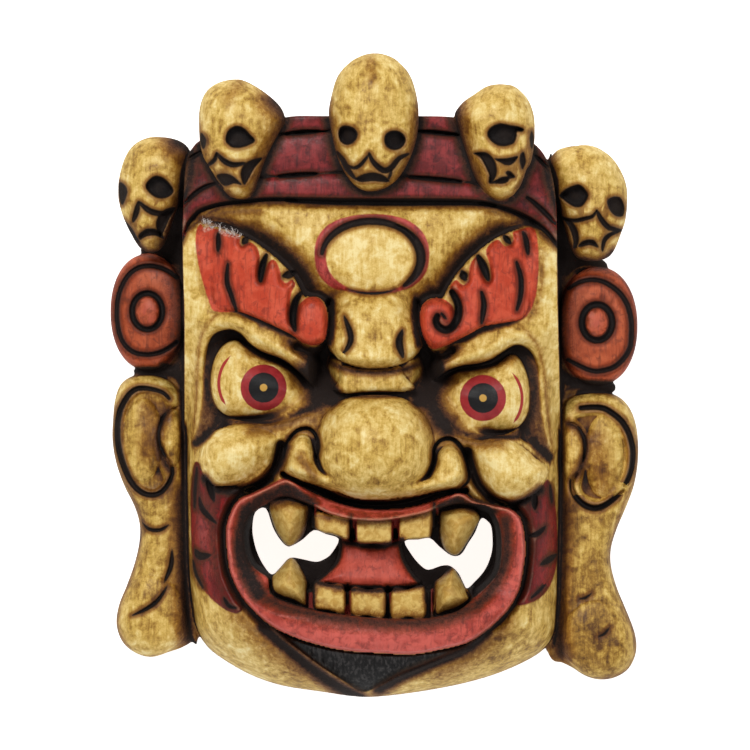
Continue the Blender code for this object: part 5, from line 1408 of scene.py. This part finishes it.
def painted_wood():
    n = Nodes("painted_wood_mask")
    at = n.vector("drawing")            # squares of the drawing: half a millimetre each
    scaled = n.stretched(at, (0.1, 0.1, 0.1))
    broad = n.noise(scaled, 0.28, 3.0, 0.55)
    patch = n.noise(scaled, 0.75, 4.0, 0.6, 0.4)
    mottle = n.noise(scaled, 2.2, 5.0, 0.62, 0.6)
    fine_ = n.noise(scaled, 6.5, 4.0, 0.6)
    grain_at = n.stretched(at, (0.34, 0.045, 0.2))
    grain = n.noise(grain_at, 1.0, 4.0, 0.6, 0.3)
    strokes_at = n.stretched(at, (0.5, 0.08, 0.3), (0.0, 0.0, 0.35))
    strokes = n.noise(strokes_at, 1.0, 3.0, 0.6, 0.2)
    cross_at = n.stretched(at, (0.07, 0.42, 0.3), (0.0, 0.0, -0.15))
    cross = n.noise(cross_at, 1.0, 3.0, 0.6, 0.2)
    wobble = n.math("MULTIPLY", n.math("SUBTRACT", n.noise(scaled, 3.0, 3.0, 0.6), 0.5), 2.2)
    fray = n.math("MULTIPLY", n.math("SUBTRACT", n.noise(scaled, 9.0, 3.0, 0.65), 0.5), 1.6)

    # ochre: golden and brown glaze worked over cream, rubbed in several directions
    cloud = n.noise(scaled, 0.60, 3.0, 0.52, 0.7)
    puddle = n.noise(scaled, 1.45, 3.0, 0.55, 0.6)
    rub_a = n.noise(n.stretched(at, (0.30, 0.035, 0.2), (0.0, 0.0, 0.62)), 1.0, 3.0, 0.6, 0.3)
    rub_b = n.noise(n.stretched(at, (0.26, 0.03, 0.2), (0.0, 0.0, -0.95)), 1.0, 3.0, 0.6, 0.3)
    rub = n.mix(n.span(broad, 0.42, 0.58), rub_a, rub_b)
    shade = n.math("MULTIPLY", n.math("SUBTRACT", cloud, 0.5), 0.95)
    shade = n.math("ADD", shade, n.math("MULTIPLY", n.math("SUBTRACT", puddle, 0.5), 0.60))
    shade = n.math("ADD", shade, n.math("MULTIPLY", n.math("SUBTRACT", rub, 0.5), 0.68))
    shade = n.math("ADD", shade, n.math("MULTIPLY", n.math("SUBTRACT", fine_, 0.5), 0.35))
    # painted shade and light: the ochre darkens where the place is buried, and takes the painted light and shade laid
    # over the face
    shade = n.math("ADD", shade, n.math("MULTIPLY", n.value("buried"), -0.30))
    shade = n.math("ADD", shade, n.math("ADD", n.value("light_and_tone"), 0.50))
    ramp = n.add("ShaderNodeValToRGB")
    n.put(ramp.inputs["Fac"], shade)
    stops = ramp.color_ramp.elements
    for position, shade_color in ((0.06, srgb(96, 62, 26)), (0.30, srgb(160, 120, 50)), (0.48, srgb(204, 166, 80)),
                                  (0.64, srgb(227, 194, 112)), (0.86, srgb(244, 223, 158))):
        if position == 0.06:
            stop = stops[0]
            stop.position = position
        elif position == 0.86:
            stop = stops[-1]
            stop.position = position
        else:
            stop = stops.new(position)
        stop.color = shade_color
    ochre = ramp.outputs["Color"]
    speck = n.noise(scaled, 13.0, 2.0, 0.5)
    ochre = n.mix(n.math("MULTIPLY", n.span(speck, 0.66, 0.74), n.span(patch, 0.50, 0.62, 0.0, 0.6)), ochre, srgb(104, 70, 34))

    def painted(base, dark, light, name, soft=0.9, grow=0.0):
        coat = n.mix(n.span(patch, 0.36, 0.66), base, light)
        coat = n.mix(n.span(rub_a, 0.50, 0.68, 0.0, 0.55), coat, dark)
        coat = n.mix(n.span(puddle, 0.52, 0.70, 0.0, 0.65), coat, dark)
        coat = n.mix(n.span(rub_b, 0.46, 0.30, 0.0, 0.35), coat, light)
        d = n.math("ADD", n.value(name), n.math("MULTIPLY", wobble, 0.45))
        return coat, n.span(d, soft + grow, -soft + grow)

    color = ochre
    for base, dark, light, name, grow in (
        (srgb(104, 34, 35), srgb(52, 26, 29), srgb(146, 50, 51), "d_band", 0.0),
        (srgb(172, 76, 42), srgb(116, 52, 34), srgb(196, 96, 58), "d_disc", 0.0),
        (srgb(114, 24, 26), srgb(60, 22, 27), srgb(144, 30, 30), "d_beard", 0.0),
        (srgb(172, 66, 56), srgb(112, 46, 42), srgb(208, 92, 78), "d_lip", 0.0),
        (srgb(70, 32, 32), srgb(30, 24, 24), srgb(92, 42, 38), "d_mouth", 0.0),
        (srgb(184, 72, 56), srgb(132, 50, 44), srgb(204, 88, 70), "d_tongue", 0.3),
        (srgb(190, 64, 38), srgb(132, 46, 34), srgb(210, 86, 58), "d_brow", 0.2),
        (srgb(172, 58, 58), srgb(120, 44, 44), srgb(198, 86, 78), "d_ring", 0.0),
    ):
        coat, on = painted(base, dark, light, name, 0.9, grow)
        color = n.mix(on, color, coat)
    teeth = n.span(n.math("ADD", n.value("d_teeth"), n.math("MULTIPLY", wobble, 0.35)), 0.9, -0.9)
    tooth_coat = n.mix(n.span(puddle, 0.36, 0.64), srgb(220, 186, 106), srgb(194, 152, 72))
    tooth_coat = n.mix(n.span(cloud, 0.50, 0.70, 0.0, 0.50), tooth_coat, srgb(160, 116, 52))
    tooth_coat = n.mix(n.span(fine_, 0.58, 0.74, 0.0, 0.4), tooth_coat, srgb(122, 84, 42))
    color = n.mix(teeth, color, tooth_coat)

    color = n.mix(n.span(n.value("d_gum"), 0.9, -0.5, 0.0, 0.9), color, srgb(168, 62, 54))

    # black beard tuft with grey strokes
    tuft = n.span(n.math("ADD", n.value("d_goatee"), n.math("MULTIPLY", wobble, 0.4)), 1.2, -0.8)
    hair = n.noise(n.stretched(at, (0.36, 0.010, 0.2)), 1.0, 4.0, 0.62)
    color = n.mix(tuft, color, n.mix(n.span(hair, 0.44, 0.66), srgb(19, 17, 17), srgb(62, 59, 58)))

    # iris, pupil and the red arc on each eye, drawn with a compass
    for (cu, cv), (pu_, pv_), (qu, qv), (ru_, rv_) in (
        ((263.6, 387.6), (231.5, 355.0), (218.8, 385.0), (225.6, 405.0)),
        ((483.0, 398.0), (511.5, 372.0), (521.8, 394.0), (513.5, 423.0)),
    ):
        middle = n.add("ShaderNodeVectorMath", operation="MULTIPLY")
        n.put(middle.inputs[0], at)
        middle.inputs[1].default_value = (1.0, 1.0, 0.0)
        away = n.add("ShaderNodeVectorMath", operation="DISTANCE")
        n.put(away.inputs[0], middle.outputs[0])
        away.inputs[1].default_value = (cu, cv, 0.0)
        r = n.math("ADD", away.outputs["Value"], n.math("MULTIPLY", wobble, 0.35))
        red = n.mix(n.span(patch, 0.4, 0.62), srgb(140, 34, 38), srgb(160, 44, 46))
        color = n.mix(n.span(r, 23.6, 22.6), color, red)
        color = n.mix(n.span(r, 15.4, 14.6), color, srgb(17, 15, 17))
        color = n.mix(n.span(r, 4.1, 3.3), color, srgb(196, 152, 70))
        # circle through three points
        a, b, c = Vector((pu_, pv_)), Vector((qu, qv)), Vector((ru_, rv_))
        k = 2.0 * (a.x * (b.y - c.y) + b.x * (c.y - a.y) + c.x * (a.y - b.y))
        ox = (a.length_squared * (b.y - c.y) + b.length_squared * (c.y - a.y) + c.length_squared * (a.y - b.y)) / k
        oy = (a.length_squared * (c.x - b.x) + b.length_squared * (a.x - c.x) + c.length_squared * (b.x - a.x)) / k
        radius = (a - Vector((ox, oy))).length
        spread = n.add("ShaderNodeVectorMath", operation="DISTANCE")
        n.put(spread.inputs[0], middle.outputs[0])
        spread.inputs[1].default_value = (ox, oy, 0.0)
        off = n.math("ABSOLUTE", n.math("SUBTRACT", spread.outputs["Value"], radius))
        parts = n.add("ShaderNodeSeparateXYZ")
        n.put(parts.inputs[0], at)
        down = parts.outputs["Y"]
        keep = n.math("MULTIPLY", n.span(down, min(a.y, c.y) - 1, min(a.y, c.y) + 8), n.span(down, max(a.y, c.y) + 1, max(a.y, c.y) - 5))
        side = n.span(parts.outputs["X"], max(a.x, b.x, c.x) + 3, max(a.x, b.x, c.x) + 1) if cu < 372 else n.span(parts.outputs["X"], min(a.x, b.x, c.x) - 3, min(a.x, b.x, c.x) - 1)
        thick = n.math("MULTIPLY", keep, 1.5)
        stroke = n.span(n.math("SUBTRACT", off, thick), 0.4, -0.4)
        stroke = n.math("MULTIPLY", n.math("MULTIPLY", stroke, side), n.span(keep, 0.02, 0.1))
        color = n.mix(stroke, color, srgb(168, 44, 40))

    color = n.mix(n.math("MULTIPLY", n.value("rim_light"), n.span(puddle, 0.62, 0.40, 0.25, 0.85)), color, srgb(214, 102, 92))

    # dark antiquing wash and painted shade: darkening pooled in the recesses and laid where shade falls, rubbed off the
    # high places
    ragged = n.math("MULTIPLY", n.math("SUBTRACT", mottle, 0.5), 0.5)
    ragged = n.math("ADD", ragged, n.math("MULTIPLY", n.math("SUBTRACT", fine_, 0.5), 0.35))
    pooled_and_shaded = n.span(n.math("ADD", n.value("buried"), n.math("MULTIPLY", ragged, 0.28)), 0.05, 0.46)
    washed_and_shaded = n.math("ADD", n.value("wash_and_shade"), n.math("MULTIPLY", ragged, n.span(n.value("wash_and_shade"), 0.0, 0.2)))
    inked = n.span(n.math("ADD", n.value("d_ink"), n.math("MULTIPLY", wobble, 0.3)), 6.5, 0.0, 0.0, 0.52)
    tone = n.math("MAXIMUM", n.math("MAXIMUM", pooled_and_shaded, washed_and_shaded), inked, clamp=True)
    glaze_and_shade = n.mix(1.0, color, srgb(198, 170, 128), "MULTIPLY")
    umber = n.mix(0.5, n.mix(1.0, color, srgb(128, 92, 82), "MULTIPLY"), srgb(84, 54, 36))
    color = n.mix(n.span(tone, 0.04, 0.34, 0.0, 1.0, "LINEAR"), color, glaze_and_shade)
    color = n.mix(n.span(tone, 0.26, 0.66, 0.0, 1.0, "LINEAR"), color, umber)
    color = n.mix(n.span(tone, 0.58, 0.94, 0.0, 0.97), color, srgb(30, 22, 20))
    lines = n.span(n.math("ADD", n.value("d_ink"), n.math("MULTIPLY", wobble, 0.35)), 0.8, -0.7)
    color = n.mix(n.math("MULTIPLY", lines, 0.97), color, srgb(26, 20, 19))
    color = n.mix(n.span(n.value("d_gum"), 0.3, -0.9, 0.0, 0.62), color, srgb(158, 60, 54))
    # rubbed edges and painted highlight: paler colour on the convex edges, less where it is dark
    rubbed_and_lit = n.span(n.math("ADD", n.value("edge_wear_and_highlight"), n.math("MULTIPLY", fray, 0.10)), 0.30, 0.58, 0.0, 0.42)
    rubbed_and_lit = n.math("MULTIPLY", rubbed_and_lit, n.math("SUBTRACT", 1.0, n.span(tone, 0.3, 0.7)))
    pale = n.mix(0.42, color, srgb(240, 200, 160))
    color = n.mix(rubbed_and_lit, color, pale)

    chip = n.math("MULTIPLY", n.span(n.value("d_chip"), 1.2, -1.0), n.span(n.noise(scaled, 7.0, 3.0, 0.6), 0.44, 0.56))
    color = n.mix(n.math("MULTIPLY", chip, 0.8), color, srgb(216, 178, 160))
    color = n.mix(n.value("torn"), color, srgb(240, 234, 230))

    # bare wood behind
    wood_at = n.stretched(at, (0.10, 0.012, 0.10))
    rings = n.noise(wood_at, 1.0, 5.0, 0.6, 0.8)
    wood = n.mix(n.span(rings, 0.36, 0.62), srgb(138, 102, 66), srgb(172, 134, 92))
    wood = n.mix(n.span(grain, 0.52, 0.70, 0.0, 0.6), wood, srgb(96, 66, 42))
    wood = n.mix(n.span(broad, 0.5, 0.7, 0.0, 0.4), wood, srgb(88, 62, 42))
    color = n.mix(n.value("bare"), color, wood)

    shader = n.add("ShaderNodeBsdfPrincipled")
    out = n.add("ShaderNodeOutputMaterial")
    n.link(shader.outputs[0], out.inputs["Surface"])
    n.put(shader.inputs["Base Color"], color)
    rough = n.span(n.math("ADD", n.math("MULTIPLY", mottle, 0.6), n.math("MULTIPLY", fine_, 0.4)), 0.35, 0.65, 0.36, 0.54)
    rough = n.math("ADD", rough, n.span(n.math("MAXIMUM", tone, lines), 0.25, 0.85, 0.0, 0.34))
    rough = n.math("MAXIMUM", rough, n.math("MULTIPLY", n.value("bare"), 0.72))
    n.put(shader.inputs["Roughness"], rough)
    shader.inputs["Specular IOR Level"].default_value = 0.26
    height = n.math("ADD", n.math("MULTIPLY", grain, 0.12), n.math("MULTIPLY", rub, 0.40))
    height = n.math("ADD", height, n.math("MULTIPLY", fine_, 0.35))
    height = n.math("ADD", height, n.math("MULTIPLY", mottle, 0.35))
    bump = n.add("ShaderNodeBump")
    bump.inputs["Strength"].default_value = 0.32
    bump.inputs["Distance"].default_value = 0.0007
    n.put(bump.inputs["Height"], height)
    n.link(bump.outputs["Normal"], shader.inputs["Normal"])
    return n.material


fine.materials.clear()
fine.materials.append(painted_wood())

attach(mask, "root")
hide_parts("carved_mask")

# ------------------------------------------------------------------ floor, light and camera
floor_mesh = bpy.data.meshes.new("pale_floor")
floor_mesh.from_pydata([(-3, -3, 0), (3, -3, 0), (3, 3, 0), (-3, 3, 0)], [], [(0, 1, 2, 3)])
floor = bpy.data.objects.new("pale_floor", floor_mesh)
floor.location = (0.0, 0.0, -0.0004)
bpy.context.scene.collection.objects.link(floor)
paper = bpy.data.materials.new("pale_paper")
paper.use_nodes = True
shader = paper.node_tree.nodes["Principled BSDF"]
shader.inputs["Base Color"].default_value = (0.92, 0.92, 0.915, 1.0)
shader.inputs["Roughness"].default_value = 0.9
shader.inputs["Specular IOR Level"].default_value = 0.1
shader.inputs["Emission Color"].default_value = (1.0, 1.0, 1.0, 1.0)
shader.inputs["Emission Strength"].default_value = 0.85
floor_mesh.materials.append(paper)
floor.visible_glossy = False        # soft paper: it doesn't mirror in the painted edges


def area_light(name, where, size, power, color=(1.0, 1.0, 1.0)):
    data = bpy.data.lights.new(name, "AREA")
    data.shape = "DISK"
    data.size = size
    data.energy = power
    data.color = color
    made = bpy.data.objects.new(name, data)
    made.location = where
    made.rotation_euler = (Vector((0.0, 0.0, 0.03)) - Vector(where)).to_track_quat("-Z", "Y").to_euler()
    bpy.context.scene.collection.objects.link(made)
    return made


area_light("key", (-0.45, 0.85, 1.6), 0.6, 16.5, (1.0, 0.985, 0.96))
area_light("fill", (0.85, 0.35, 1.5), 0.8, 5.5, (0.97, 0.985, 1.0))
area_light("low", (0.0, -1.2, 1.0), 0.9, 3.6)
world = bpy.data.worlds.new("studio")
world.use_nodes = True
world.node_tree.nodes["Background"].inputs["Color"].default_value = (1.0, 1.0, 1.0, 1.0)
world.node_tree.nodes["Background"].inputs["Strength"].default_value = 0.36
bpy.context.scene.world = world

camera_data = bpy.data.cameras.new("front")
camera = bpy.data.objects.new("front", camera_data)
bpy.context.scene.collection.objects.link(camera)
camera.location = (OFF_X * 0.001, OFF_Y * 0.001, EYE * 0.001)
camera.rotation_euler = (0.0, 0.0, 0.0)
camera_data.sensor_fit = "HORIZONTAL"
camera_data.sensor_width = 36.0
half = 375.0 * DRAW * 0.001 / ((EYE - DRAW_HEIGHT) * 0.001)
camera_data.lens = 18.0 / half
camera_data.shift_x = 0.5 / 750.0
camera_data.shift_y = -1.0 / 750.0
camera_data.clip_start = 0.05
camera_data.clip_end = 20.0
bpy.context.scene.camera = camera
bpy.context.scene.view_settings.view_transform = "Standard"
